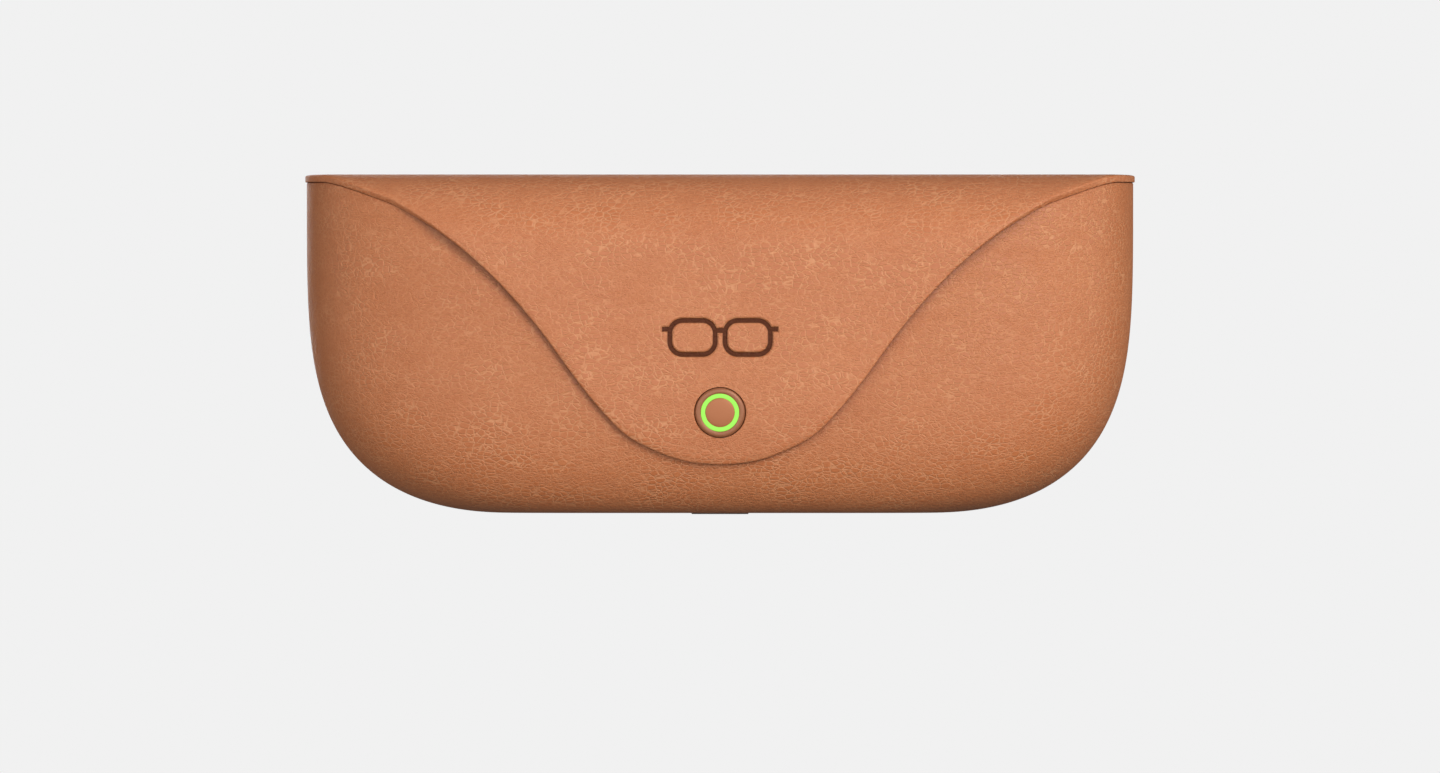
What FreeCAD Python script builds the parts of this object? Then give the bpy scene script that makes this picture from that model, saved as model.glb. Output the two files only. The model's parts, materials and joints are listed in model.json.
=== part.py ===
import FreeCAD, Part
import math
import os

# A leather-covered charging case for folded smart glasses, with a hinged flap that closes over its front.
# Frame: +X to the viewer's right, -Y to the front, +Z up. The origin is at the bottom centre. Millimetres.

Vec = FreeCAD.Vector
X_AXIS, Y_AXIS, Z_AXIS = Vec(1, 0, 0), Vec(0, 1, 0), Vec(0, 0, 1)
OUT = "parts"

# ---------------------------------------------------------------- driving dimensions
CASE_HEIGHT = 66.2        # port lip to the top of the flap
PORT_LIP = 0.25           # how far the port surround stands below the leather base
BASE_Z = PORT_LIP         # underside of the leather base
GAP = 0.25                # between the flap and the body

# Each side of the body swells from a flat base to its full reach: (shoulder height, flat, full, p, q).
# The reach at height z is flat + (full - flat) * (1 - ((shoulder - z) / (shoulder - base)) ** p) ** (1 / q).
WIDTH = (64.2, 40.6, 80.7, 4.13, 2.275)
FRONT = (40.0, 9.5, 24.5, 3.2, 2.2)
BACK = (30.0, 11.0, 26.0, 3.0, 2.2)
FRONT_POWERS = (5.5, 2.0)  # the plan's front is |x / a| ** p + |y / f| ** q = 1
CORNER_POWER = 2.3        # and so is each back corner
BACK_FLAT_SHARE = 0.69    # share of the half width over which the back is flat

LEATHER = 0.8
SHELL = 1.4
CABLE_GAP = 0.6           # between the shell and the pocket tray
TRAY = 0.9
LINING = 0.4
SHELL_OUT = -LEATHER
SHELL_IN = SHELL_OUT - SHELL
TRAY_OUT = SHELL_IN - CABLE_GAP
TRAY_IN = TRAY_OUT - TRAY
LINING_IN = TRAY_IN - LINING
TRAY_FLOOR = 13.0         # underside of the tray's floor
FLOOR_TOP = TRAY_FLOOR + TRAY
RIM_TRIM = 1.0            # height of the rim trim above the shell and tray

FRONT_RIM_Z = 51.6        # top of the front wall's leather, under the flap
# The flap's free edge in front view, from its tip towards the corner, (x, z).
EDGE = [(0, 9.75), (6.25, 10.3), (12.1, 12.2), (18.4, 15.6), (23.05, 20.3), (27.7, 26.0),
        (34.8, 35.7), (41.8, 43.9), (48.8, 50.55), (55.9, 55.85), (62.0, 59.6)]
TONGUE_HALF = 61.0        # the free edge follows EDGE up to here, then the body's plan outline

FLAP_THICK = 1.25
FLAP_LEATHER = 0.8
FLAP_STIFFENER = 0.35
FLAP_OUT = GAP + FLAP_THICK   # the flap's outer face stands this far off the body
FLAP_OVERHANG = 0.3           # beyond the body at the two ends
RIM_Z = CASE_HEIGHT - FLAP_OUT  # top of the body's wall at the back and the ends
ROLL = 15.25                  # radius of the flap's bend from top to front
ROLL_Z = CASE_HEIGHT - ROLL
ROLL_Y = ROLL - FRONT[2] - FLAP_OUT
MID_RADIUS = 14.6             # lengths along the bend are measured at this radius
HINGE_HALF = 55.0             # half length of the leather hinge
HINGE_Y = 20.0                # where the hinge strip leaves the flap
HINGE_LOW = 58.0              # where it leaves the back wall
HINGE_BED = 0.06              # the shell stands this far back behind the hinge strip
FLAP_BACK = 24.8              # the flap's back edge beside the hinge strip

STUD_Z = 20.0
STUD_R = 4.8
STUD_EDGE = 0.5           # rounding of the stud's rim
CAP_R = 2.77
LIGHT_IN, LIGHT_OUT = 2.81, 3.69
BEZEL_IN = 3.73
EYELET_R = 5.0            # the flap's hole round the stud
EYELET_BACK_R = 6.15      # the same hole at the flap's inner face
EYELET_LAND = 0.3
KEEPER_R = 8.2
MAGNET_R, MAGNET_FACE, MAGNET_BACK = 6.0, 3.0, 4.2   # behind the body's leather
LED_BOARD_R = 6.4
SENSE_X = 13.0            # a small magnet beside the stud tells the case that the flap is shut

DOCK_FOOT, DOCK_TOP_HALF, DOCK_TOP = 12.0, 5.6, 46.0
DOCK_BACK_Y, POST_FRONT_Y, DOCK_STEP_Z = -8.8, -14.4, 33.0
DOCK_WALL = 1.2
DOCK_ROUND = 0.9          # on the post's edges
FLEX_Y = -17.3            # where the dock's cable goes down through the tray's floor
PIN_Z, PIN_PITCH, PIN_COUNT = 40.0, 2.3, 4
PIN_R, PIN_STAND, PIN_TRAVEL = 0.45, 0.9, 0.8

BOARD = (-6.0, 50.0, -12.0, 13.0, 8.0, 9.0)        # x, y and z from and to
BATTERY = (-51.0, -10.0, -12.0, 13.0, 5.4, 11.4)
BOARD_SCREWS = [(-4.0, -7.2), (-3.0, 10.0), (46.5, -9.0), (46.5, 10.0)]
TRAY_SCREWS = [(-59.0, 0.0), (59.0, 0.0)]
PORT_HALF, PORT_WALL = (5.55, 2.8), 0.95           # half sizes of the surround and its wall
USB = (8.94, 3.26, 7.35)                           # receptacle width, thickness and depth

BUTTON_Z, BUTTON_R, BUTTON_BEZEL_R = 32.0, 3.0, 4.2
BUTTON_PROUD = 0.35       # of the back wall


# ---------------------------------------------------------------- outline functions
def swell(side, z, grow):
    """Reach of one side of the body at height z, with its surface moved outwards by grow."""
    shoulder, flat, full, p, q = side
    low = BASE_Z - grow
    if z >= shoulder:
        return full + grow
    share = min(1.0, (shoulder - z) / (shoulder - low))
    return flat + (full - flat + grow) * (1 - share ** p) ** (1 / q)


def front_reach(x, z, grow):
    """How far in front of the middle the body's surface is at x, z."""
    a, b = swell(WIDTH, z, grow), swell(FRONT, z, grow)
    ratio = min(abs(x) / a, 0.9995)
    return b * (1 - ratio ** FRONT_POWERS[0]) ** (1 / FRONT_POWERS[1])


def front_plan(t, a, f):
    """A point of the plan's front at parameter t, from (-a, 0) at 0 through the front to (a, 0) at pi."""
    c, d = math.cos(t), math.sin(t)
    return -math.copysign(abs(c) ** (2 / FRONT_POWERS[0]), c) * a, -f * abs(d) ** (2 / FRONT_POWERS[1])


def corner_plan(t, a, b):
    """A point of the right back corner at parameter t, from (a, 0) at 0 to the flat back at pi / 2."""
    flat = BACK_FLAT_SHARE * a
    return (flat + (a - flat) * abs(math.cos(t)) ** (2 / CORNER_POWER),
            b * abs(math.sin(t)) ** (2 / CORNER_POWER))


def plan_wire(z, grow):
    """The body's outline at height z: a superellipse in front, a flat back with rounded corners."""
    a, f, b = (swell(side, z, grow) for side in (WIDTH, FRONT, BACK))
    front = [front_plan(math.pi * i / 24, a, f) for i in range(24)]
    right = [corner_plan(math.pi * i / 16, a, b) for i in range(9)]
    back = [(right[-1][0] * (1 - i / 3), b) for i in range(1, 6)]
    left = [(-x, y) for x, y in reversed(right)][:-1]
    curve = Part.BSplineCurve()
    curve.interpolate(Points=[Vec(x, y, z) for x, y in front + right + back + left], PeriodicFlag=True)
    return Part.Wire([curve.toShape()])


def envelope(grow, top=RIM_Z):
    """The body's solid with its surface moved outwards by grow, from its base up to top."""
    base = BASE_Z - grow
    shoulder = WIDTH[0]
    levels = [shoulder - (shoulder - base) * math.cos(0.1 * i) ** (2 / WIDTH[3]) for i in range(16)]
    levels += [0.5 * (levels[-1] + shoulder), shoulder, top]
    return Part.makeLoft([plan_wire(z, grow) for z in levels], True, False)


def edge_z(x):
    """Height of the flap's free edge at x, by a cubic that keeps the points' slopes."""
    x = abs(x)
    k = max(i for i in range(len(EDGE) - 1) if EDGE[i][0] <= x)
    (x0, z0), (x1, z1) = EDGE[k], EDGE[k + 1]

    def slope(i):
        if i == 0:
            return 0.0
        if i == len(EDGE) - 1:
            return (EDGE[i][1] - EDGE[i - 1][1]) / (EDGE[i][0] - EDGE[i - 1][0])
        return (EDGE[i + 1][1] - EDGE[i - 1][1]) / (EDGE[i + 1][0] - EDGE[i - 1][0])

    h, t = x1 - x0, (x - x0) / (x1 - x0)
    return ((2 * t ** 3 - 3 * t ** 2 + 1) * z0 + (t ** 3 - 2 * t ** 2 + t) * h * slope(k)
            + (3 * t ** 2 - 2 * t ** 3) * z1 + (t ** 3 - t ** 2) * h * slope(k + 1))


# ---------------------------------------------------------------- shape helpers
def box(x0, x1, y0, y1, z0, z1):
    return Part.makeBox(x1 - x0, y1 - y0, z1 - z0, Vec(x0, y0, z0))


def slab(limits, radius=0.0):
    """A box from (x0, x1, y0, y1, z0, z1), its upright edges rounded if a radius is given."""
    solid = box(*limits)
    if radius:
        upright = [e for e in solid.Edges if abs(e.tangentAt(e.FirstParameter).z) > 0.99]
        solid = solid.makeFillet(radius, upright)
    return solid


def extrude_side(edges, half):
    """A prism along X from a closed side view drawn in the plane x = 0."""
    face = Part.Face(Part.Wire(edges))
    face.translate(Vec(-half, 0, 0))
    return face.extrude(Vec(2 * half, 0, 0))


def mouth_cut(drop=0.0):
    """What is cut away above the body's rim, the rim lowered by drop. It runs level over the front
    wall, follows the flap's bend a little way inside it, then runs level to the back."""
    radius, low = ROLL - FLAP_OUT - drop, FRONT_RIM_Z - drop
    start = math.asin((low - ROLL_Z) / radius)
    mid = 0.5 * (start + math.pi / 2)
    a, b, c = (Vec(0, ROLL_Y - radius * math.cos(t), ROLL_Z + radius * math.sin(t))
               for t in (start, mid, math.pi / 2))
    corners = [c, Vec(0, 40, c.z), Vec(0, 40, 90), Vec(0, -40, 90), Vec(0, -40, low), a]
    edges = [Part.Arc(a, b, c).toShape()]
    edges += [Part.makeLine(p, q) for p, q in zip(corners, corners[1:])]
    return extrude_side(edges, 90)


def ring(r_out, r_in, y0, y1):
    """A ring round the Y axis between y0 and y1."""
    outer = Part.makeCylinder(r_out, y1 - y0, Vec(0, y0, 0), Y_AXIS)
    return outer.cut(Part.makeCylinder(r_in, y1 - y0, Vec(0, y0, 0), Y_AXIS)) if r_in else outer


def stadium(half_x, half_y, z0, z1):
    """A slot-shaped prism, its long way along X."""
    flat = half_x - half_y
    prism = box(-flat, flat, -half_y, half_y, z0, z1)
    for side in (-flat, flat):
        prism = prism.fuse(Part.makeCylinder(half_y, z1 - z0, Vec(side, 0, z0), Z_AXIS))
    return prism.removeSplitter()


def revolve_y(profile):
    """A solid turned round the Y axis from (radius, y) points."""
    points = [Vec(r, y, 0) for r, y in profile]
    wire = Part.makePolygon(points + [points[0]])
    return Part.Face(wire).revolve(Vec(0, 0, 0), Y_AXIS, 360)


def group(solids):
    return Part.makeCompound(solids)


def save(name, shape):
    if shape.ShapeType == "Compound" and len(shape.Solids) == 1:
        shape = shape.Solids[0]
    shape.exportStep(os.path.join(OUT, name + ".step"))
    print(f"{name:22s} {shape.Volume:10.2f} mm3  solids {len(shape.Solids)}  valid {shape.isValid()}")


# ---------------------------------------------------------------- the stud's own frame
def stud_frame():
    """Puts a shape made round the Y axis, its y = 0 on the body's leather, at the stud's place."""
    step = 0.5
    rise = front_reach(0, STUD_Z + step, 0) - front_reach(0, STUD_Z - step, 0)
    lean = math.degrees(math.atan2(rise, 2 * step))
    place = FreeCAD.Placement(Vec(0, -front_reach(0, STUD_Z, 0), STUD_Z),
                              FreeCAD.Rotation(X_AXIS, lean))
    return place


def at_stud(shape):
    placed = shape.copy()
    placed.Placement = stud_frame().multiply(placed.Placement)
    return placed


# ---------------------------------------------------------------- body
def window_cut():
    """The window in the back leather that the hinge strip fills."""
    return box(-HINGE_HALF, HINGE_HALF, 20, 30, HINGE_LOW, 70)


def hinge_bed():
    """What the shell and the rim trim give up behind the hinge strip."""
    face = BACK[2] - LEATHER - HINGE_BED
    return box(-HINGE_HALF - HINGE_BED, HINGE_HALF + HINGE_BED, face, 30, HINGE_LOW - HINGE_BED, 70)


def port_cut():
    return stadium(PORT_HALF[0], PORT_HALF[1], -1, 6)


def button_cut(radius):
    return Part.makeCylinder(radius, 10, Vec(0, 20, BUTTON_Z), Y_AXIS)


def stud_cut(radius, y0=-3.0, y1=8.0):
    return at_stud(ring(radius, 0, y0, y1))


def screw_boss(place, low, high, radius, hole):
    post = Part.makeCylinder(radius, high - low, Vec(place[0], place[1], low), Z_AXIS)
    return post, Part.makeCylinder(hole, high, Vec(place[0], place[1], low + 1.5), Z_AXIS)


def make_body():
    skins = {grow: envelope(grow, RIM_Z + 3) for grow in (SHELL_OUT, SHELL_IN, TRAY_IN, LINING_IN)}
    outer = envelope(0.0, RIM_Z)
    rim_cut, shell_cut = mouth_cut(), mouth_cut(RIM_TRIM)

    leather = outer.cut(skins[SHELL_OUT]).cut(rim_cut)
    leather = leather.cut(window_cut()).cut(port_cut())
    leather = leather.cut(button_cut(BUTTON_BEZEL_R)).cut(stud_cut(BEZEL_IN))
    save("body_leather", leather)

    shell = skins[SHELL_OUT].cut(skins[SHELL_IN]).cut(shell_cut)
    for place in BOARD_SCREWS:
        post, hole = screw_boss(place, 2.0, BOARD[4], 2.2, 0.85)
        shell = shell.fuse(post).cut(hole)
    for place in TRAY_SCREWS:
        post, hole = screw_boss(place, 4.6, TRAY_FLOOR, 2.6, 0.85)
        shell = shell.fuse(post).cut(hole)
    shell = shell.cut(port_cut()).cut(button_cut(BUTTON_BEZEL_R)).cut(stud_cut(BEZEL_IN))
    save("body_shell", shell.cut(hinge_bed()))

    tray = envelope(TRAY_OUT, RIM_Z + 3).common(box(-100, 100, -50, 50, TRAY_FLOOR, 90))
    tray = tray.cut(skins[TRAY_IN].common(box(-100, 100, -50, 50, FLOOR_TOP, 90))).cut(shell_cut)
    tray = tray.cut(dock_window())
    for x, y in TRAY_SCREWS:
        tray = tray.cut(Part.makeCylinder(1.1, 5, Vec(x, y, TRAY_FLOOR - 1), Z_AXIS))
        tray = tray.cut(Part.makeCylinder(2.1, 5, Vec(x, y, FLOOR_TOP - 0.55), Z_AXIS))
    save("pocket_tray", tray)

    lining = skins[TRAY_IN].common(box(-100, 100, -50, 50, FLOOR_TOP, 90))
    lining = lining.cut(skins[LINING_IN].common(box(-100, 100, -50, 50, FLOOR_TOP + LINING, 90)))
    lining = lining.cut(shell_cut).cut(dock_footprint())
    save("pocket_lining", lining)

    trim = skins[SHELL_OUT].cut(skins[LINING_IN]).cut(rim_cut).common(shell_cut)
    save("rim_trim", trim.cut(hinge_bed()))

    save("hinge_strip", hinge_strip())
    screws = []
    for x, y in TRAY_SCREWS:
        head = Part.makeCylinder(2.0, 0.5, Vec(x, y, FLOOR_TOP - 0.55), Z_AXIS)
        socket = Part.makeCylinder(0.7, 0.3, Vec(x, y, FLOOR_TOP - 0.35), Z_AXIS)
        screws.append(head.fuse(Part.makeCylinder(0.8, 6.5, Vec(x, y, FLOOR_TOP - 7.0), Z_AXIS)).cut(socket))
    save("tray_screws", group(screws))


def hinge_strip():
    """A leather strip that runs off the flap's top, over the back edge and down the back wall."""
    top, back, r = CASE_HEIGHT, BACK[2], 1.5
    mid = math.sqrt(0.5)

    def path(offset, radius):
        cy, cz = back - r, top - r
        return [Vec(0, HINGE_Y, top - offset), Vec(0, cy, top - offset),
                Vec(0, cy + radius * mid, cz + radius * mid), Vec(0, back - offset, cz),
                Vec(0, back - offset, HINGE_LOW)]

    o, i = path(0, r), path(LEATHER, r - LEATHER)
    edges = [Part.makeLine(o[0], o[1]), Part.Arc(o[1], o[2], o[3]).toShape(), Part.makeLine(o[3], o[4]),
             Part.makeLine(o[4], i[4]), Part.makeLine(i[4], i[3]), Part.Arc(i[3], i[2], i[1]).toShape(),
             Part.makeLine(i[1], i[0]), Part.makeLine(i[0], o[0])]
    return extrude_side(edges, HINGE_HALF)


# ---------------------------------------------------------------- flap
def flap_point(x, u, depth):
    """A point of the flap at this depth under its outer face. u runs along the side view: negative
    down the front, then round the bend, then back over the top."""
    bend = MID_RADIUS * math.pi / 2
    if u <= 0:
        z = ROLL_Z + u
        return Vec(x, depth - FLAP_OUT - swell(FRONT, z, 0), z)
    if u >= bend:
        return Vec(x, ROLL_Y + u - bend, CASE_HEIGHT - depth)
    t = u / MID_RADIUS
    return Vec(x, ROLL_Y - (ROLL - depth) * math.cos(t), ROLL_Z + (ROLL - depth) * math.sin(t))


def flap_outline():
    """The flap's outline as (x, u) points of its right half, from the tip round to the back: first
    its free edge, then the body's plan outline, where its inner face meets the wall."""
    radius = ROLL - FLAP_THICK
    bend = MID_RADIUS * math.pi / 2
    points = []
    for k in range(27):
        x = TONGUE_HALF * k / 26
        rise = edge_z(x) - ROLL_Z
        points.append((x, rise if rise < 0 else MID_RADIUS * math.asin(rise / radius)))
    a, f, b = WIDTH[2] + FLAP_OVERHANG, FRONT[2], BACK[2]
    first = math.pi - math.asin(math.sqrt(1 - ((TONGUE_HALF + 3.5) / a) ** FRONT_POWERS[0]))
    for k in range(25):
        x, y = front_plan(first + (math.pi - first) * k / 24, a, f)
        if y < ROLL_Y:
            points.append((x, MID_RADIUS * math.acos(min(1.0, (ROLL_Y - y) / radius))))
        else:
            points.append((x, bend + y - ROLL_Y))
    for k in range(1, 13):
        x, y = corner_plan(math.pi / 24 * k, a, b)
        points.append((x, bend + y - ROLL_Y))
    points += [(x, points[-1][1]) for x in (45.0, 32.0, 18.0, 6.0)]
    return points


def inset_outline(inset):
    """The whole closed outline moved inwards by inset."""
    right = flap_outline()
    ring_points = [(-x, u) for x, u in reversed(right[1:])] + right
    if not inset:
        return ring_points
    moved = []
    count = len(ring_points)
    for i, (x, u) in enumerate(ring_points):
        (xa, ua), (xb, ub) = ring_points[i - 1], ring_points[(i + 1) % count]
        length = math.hypot(xb - xa, ub - ua)
        moved.append((x - inset * (ub - ua) / length, u + inset * (xb - xa) / length))
    return moved


def flap_layer(outer, inner, inset=0.0):
    """The flap's sheet between two depths, its edge square to the sheet all the way round."""
    def side(depth, back):
        low = [flap_point(0, 6 + 2 * k - ROLL_Z, depth) for k in range(18)]
        curve = Part.BSplineCurve()
        curve.interpolate(Points=low, InitialTangent=low[1] - low[0], FinalTangent=Z_AXIS)
        knee = flap_point(0, 0, depth)
        bend = [flap_point(0, MID_RADIUS * math.pi / 4 * k, depth) for k in (0, 1, 2)]
        end = Vec(0, back, CASE_HEIGHT - depth)
        return low[0], end, [curve.toShape(), Part.makeLine(low[-1], knee), Part.Arc(*bend).toShape(),
                             Part.makeLine(bend[2], end)]

    a, b, over = side(outer, 32)
    c, d, under = side(inner, 32)
    sheet = extrude_side(over + [Part.makeLine(b, d)] + list(reversed(under)) + [Part.makeLine(c, a)], 86)
    rims = []
    for depth in (-0.8, FLAP_THICK + 0.8):
        curve = Part.BSplineCurve()
        curve.interpolate(Points=[flap_point(x, u, depth) for x, u in inset_outline(inset)], PeriodicFlag=True)
        rims.append(curve.toShape())
    pieces = sheet.generalFuse([Part.makeRuledSurface(rims[0], rims[1])])[0].Solids
    probe = flap_point(0, 20, 0.5 * (outer + inner))
    inside = [piece for piece in pieces if piece.isInside(probe, 0.01, True)][0]
    back = box(-90, 90, -40, FLAP_BACK - inset, 0, 90)
    return inside.common(back).cut(box(-HINGE_HALF - inset, HINGE_HALF + inset, HINGE_Y - inset, 40, 0, 90))


def eyelet_hole():
    """The hole round the stud: straight at the outer face, then widening inwards so that the flap can swing off."""
    face = -FLAP_OUT
    return revolve_y([(0, face - 2), (EYELET_R, face - 2), (EYELET_R, face + EYELET_LAND),
                      (EYELET_BACK_R, face + FLAP_THICK), (EYELET_BACK_R, face + FLAP_THICK + 0.2),
                      (0, face + FLAP_THICK + 0.2)])


def make_flap():
    hole = at_stud(eyelet_hole())
    keeper_seat = stud_cut(KEEPER_R, -FLAP_OUT + FLAP_LEATHER, -GAP + 0.3)
    magnet_seat = stud_cut(2.1, -FLAP_OUT + FLAP_LEATHER, -GAP + 0.3)
    magnet_seat.translate(Vec(SENSE_X, 0, 0))
    stiffener = flap_layer(FLAP_LEATHER - FLAP_STIFFENER, FLAP_LEATHER, 3.5).cut(stud_cut(KEEPER_R + 1.5))
    leather = flap_layer(0.0, FLAP_LEATHER).cut(stiffener).cut(hole)
    lining = flap_layer(FLAP_LEATHER, FLAP_THICK)
    save("flap_leather", leather)
    save("flap_stiffener", stiffener)
    save("flap_lining", lining.cut(keeper_seat).cut(magnet_seat))
    save("keeper_ring", lining.common(keeper_seat).cut(hole))
    save("sense_magnet", lining.common(magnet_seat))


# ---------------------------------------------------------------- stud and light
def make_stud():
    face = -FLAP_OUT
    e = STUD_EDGE
    bezel = revolve_y([(BEZEL_IN, face), (STUD_R - e, face), (STUD_R - 0.29 * e, face + 0.29 * e),
                       (STUD_R, face + e), (STUD_R, 0.35), (BEZEL_IN, 0.35)])
    body = envelope(0.0, RIM_Z)
    body.Placement = stud_frame().inverse().multiply(body.Placement)
    save("stud_bezel", at_stud(bezel.cut(body)))
    guide_end = 3.6
    save("light_ring", at_stud(ring(LIGHT_OUT, LIGHT_IN, face + 0.02, guide_end)))
    cap = revolve_y([(0, face), (CAP_R - 0.25, face), (CAP_R - 0.07, face + 0.07), (CAP_R, face + 0.25),
                     (CAP_R, guide_end - 0.6), (0, guide_end - 0.6)])
    save("stud_cap", at_stud(cap))
    save("closure_magnet", at_stud(ring(MAGNET_R, BEZEL_IN + 0.3, MAGNET_FACE, MAGNET_BACK)))
    board_y = guide_end + 0.75
    save("led_board", at_stud(ring(LED_BOARD_R, 0, board_y, board_y + 0.8)))
    leds = []
    mean = 0.5 * (LIGHT_IN + LIGHT_OUT)
    for k in range(6):
        led = box(mean - 0.5, mean + 0.5, board_y - 0.55, board_y, -0.5, 0.5)
        led.rotate(Vec(0, 0, 0), Y_AXIS, 60 * k + 30)
        leds.append(at_stud(led))
    save("status_leds", group(leds))


# ---------------------------------------------------------------- charging dock
def dock_outline(inset):
    """The dock's nose shape in front view, as a prism through the front half."""
    foot, top_half, top = DOCK_FOOT - inset, DOCK_TOP_HALF - inset, DOCK_TOP - inset
    low, shoulder = FLOOR_TOP, top - top_half
    a, b = Vec(-foot, -40, low), Vec(foot, -40, low)
    c, d = Vec(top_half, -40, shoulder), Vec(-top_half, -40, shoulder)
    wire = Part.Wire([Part.makeLine(a, b), Part.makeLine(b, c),
                      Part.Arc(c, Vec(0, -40, top), d).toShape(), Part.makeLine(d, a)])
    return Part.Face(wire).extrude(Vec(0, 45, 0))


def dock_side(inset):
    """The dock's stepped side view: a foot against the front wall and a post behind the bridge."""
    back, post, step = DOCK_BACK_Y - inset, POST_FRONT_Y + inset, DOCK_STEP_Z - inset
    points = [Vec(-40, -40, 0), Vec(-40, back, 0), Vec(-40, back, 40), Vec(-40, back - 1.6, 60),
              Vec(-40, post, 60), Vec(-40, post, step + 2.0), Vec(-40, post - 1.5, step), Vec(-40, -40, step)]
    return Part.Face(Part.makePolygon(points + [points[0]])).extrude(Vec(80, 0, 0))


def dock_footprint():
    """What the dock takes out of the lining."""
    return dock_outline(-0.05).common(dock_side(-0.05))


def dock_window():
    """The opening in the tray behind the dock, for the light, the magnet and the cables."""
    front = dock_outline(2.4).common(box(-40, 40, -40, -17.5, 0, DOCK_STEP_Z - 2.4))
    return front.fuse(box(-7, 7, -19.3, -16.6, TRAY_FLOOR - 2, TRAY_FLOOR + 2))


def make_dock():
    skin = envelope(TRAY_IN, RIM_Z)
    solid = dock_outline(0).common(dock_side(0)).common(skin)
    edges = [e for e in solid.Edges if e.CenterOfMass.z > 20 and e.CenterOfMass.y > -16
             and e.Length > 3]
    solid = solid.makeFillet(DOCK_ROUND, edges)
    hollow = dock_outline(DOCK_WALL).common(dock_side(DOCK_WALL))
    solid = solid.cut(hollow.common(box(-40, 40, -40, 40, 0, DOCK_TOP - 2.0)))
    block_half = PIN_PITCH * PIN_COUNT / 2 + 0.4
    window = box(-block_half, block_half, POST_FRONT_Y - 1, POST_FRONT_Y + 3, PIN_Z - 1.6, PIN_Z + 1.6)
    save("dock_body", solid.cut(window))
    block = box(-block_half + 0.03, block_half - 0.03, POST_FRONT_Y - 0.1, POST_FRONT_Y + 2.2,
                PIN_Z - 1.55, PIN_Z + 1.55)
    pins, barrels = [], []
    for k in range(PIN_COUNT):
        x = (k - (PIN_COUNT - 1) / 2) * PIN_PITCH
        seat = Vec(x, POST_FRONT_Y - 2, PIN_Z)
        block = block.cut(Part.makeCylinder(0.8, 8, seat, Y_AXIS))
        front = POST_FRONT_Y - 0.1
        barrel = Part.makeCylinder(0.8, 3.6, Vec(x, front, PIN_Z), Y_AXIS)
        barrel = barrel.cut(Part.makeCylinder(0.62, 3.0, Vec(x, front + 0.4, PIN_Z), Y_AXIS))
        barrels.append(barrel.cut(Part.makeCylinder(PIN_R + 0.03, 1, Vec(x, front - 0.5, PIN_Z), Y_AXIS)))
        pin = revolve_y([(0, -PIN_STAND), (0.2, -PIN_STAND), (0.37, 0.12 - PIN_STAND), (PIN_R, 0.3 - PIN_STAND),
                         (PIN_R, 0.42), (0.58, 0.42), (0.58, 1.42), (0, 1.42)])
        pin.translate(Vec(x, front, PIN_Z))
        pins.append(pin)
    save("contact_block", block)
    save("contact_barrels", group(barrels))
    for k, pin in enumerate(pins):
        save(f"contact_pin_{k + 1}", pin)
    flex_y = POST_FRONT_Y + 3.6
    flex = box(-2.5, 2.5, flex_y, flex_y + 0.2, 16.0, PIN_Z + 2)
    flex = flex.fuse(box(-2.5, 2.5, FLEX_Y, flex_y + 0.2, 15.8, 16.0))
    flex = flex.fuse(box(-2.5, 2.5, FLEX_Y, FLEX_Y + 0.2, BOARD[5] + 0.6, 16.0))
    flex = flex.fuse(box(-2.5, 2.5, FLEX_Y, -9.2, BOARD[5] + 0.4, BOARD[5] + 0.6))
    save("dock_flex", flex.removeSplitter())


# ---------------------------------------------------------------- electronics
def make_electronics():
    z0, z1 = BOARD[4:]
    board = slab(BOARD, 1.5)
    for x, y in BOARD_SCREWS:
        board = board.cut(Part.makeCylinder(1.0, 5, Vec(x, y, z0 - 1), Z_AXIS))
    save("main_board", board)
    screws = []
    for x, y in BOARD_SCREWS:
        head = Part.makeCylinder(1.7, 1.0, Vec(x, y, z1), Z_AXIS)
        shank = Part.makeCylinder(0.8, 4.5, Vec(x, y, z1 - 4.5), Z_AXIS)
        screws.append(head.fuse(shank).cut(Part.makeCylinder(0.7, 0.6, Vec(x, y, z1 + 0.5), Z_AXIS)))
    save("board_screws", group(screws))
    save("shield_can", slab((10, 26, -8, 7, z1, z1 + 1.9), 0.8).cut(
        slab((10.3, 25.7, -7.7, 6.7, z1, z1 + 1.6), 0.6)))
    chips = [slab(c) for c in ((12, 18, -5, 1, z1, z1 + 0.9), (20, 24, -3, 3, z1, z1 + 1.0),
                               (30, 34, -9, -5, z1, z1 + 2.0), (30, 33, 2, 5, z1, z1 + 0.8),
                               (36, 38, -2, 0, z1, z1 + 0.7), (40, 43, 4, 7, z1, z1 + 0.9))]
    save("board_chips", group(chips))
    sockets = [slab(c) for c in ((-2.5, 2.5, -10.4, -8.6, z1, z1 + 0.4), (5.4, 8.6, 10.2, 12.2, z1, z1 + 0.9),
                                 (-5.4, -2.6, -4, 3, z1, z1 + 1.5))]
    save("board_sockets", group(sockets))

    b = BATTERY
    save("battery_cell", slab(b, 2.0))
    save("battery_pad", slab((-40, -13, -8, 9, BASE_Z + LEATHER + SHELL, b[4]), 1.0))
    save("battery_protection_board", slab((b[1] + 0.2, b[1] + 1.1, -9, 10, 6.0, 10.6)))
    leads = []
    for y in (-2.0, 1.0):
        leads.append(box(b[1] + 1.1, -5.4, y - 0.4, y + 0.4, z1 + 0.5, z1 + 1.3))
    save("battery_leads", group(leads))


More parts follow.
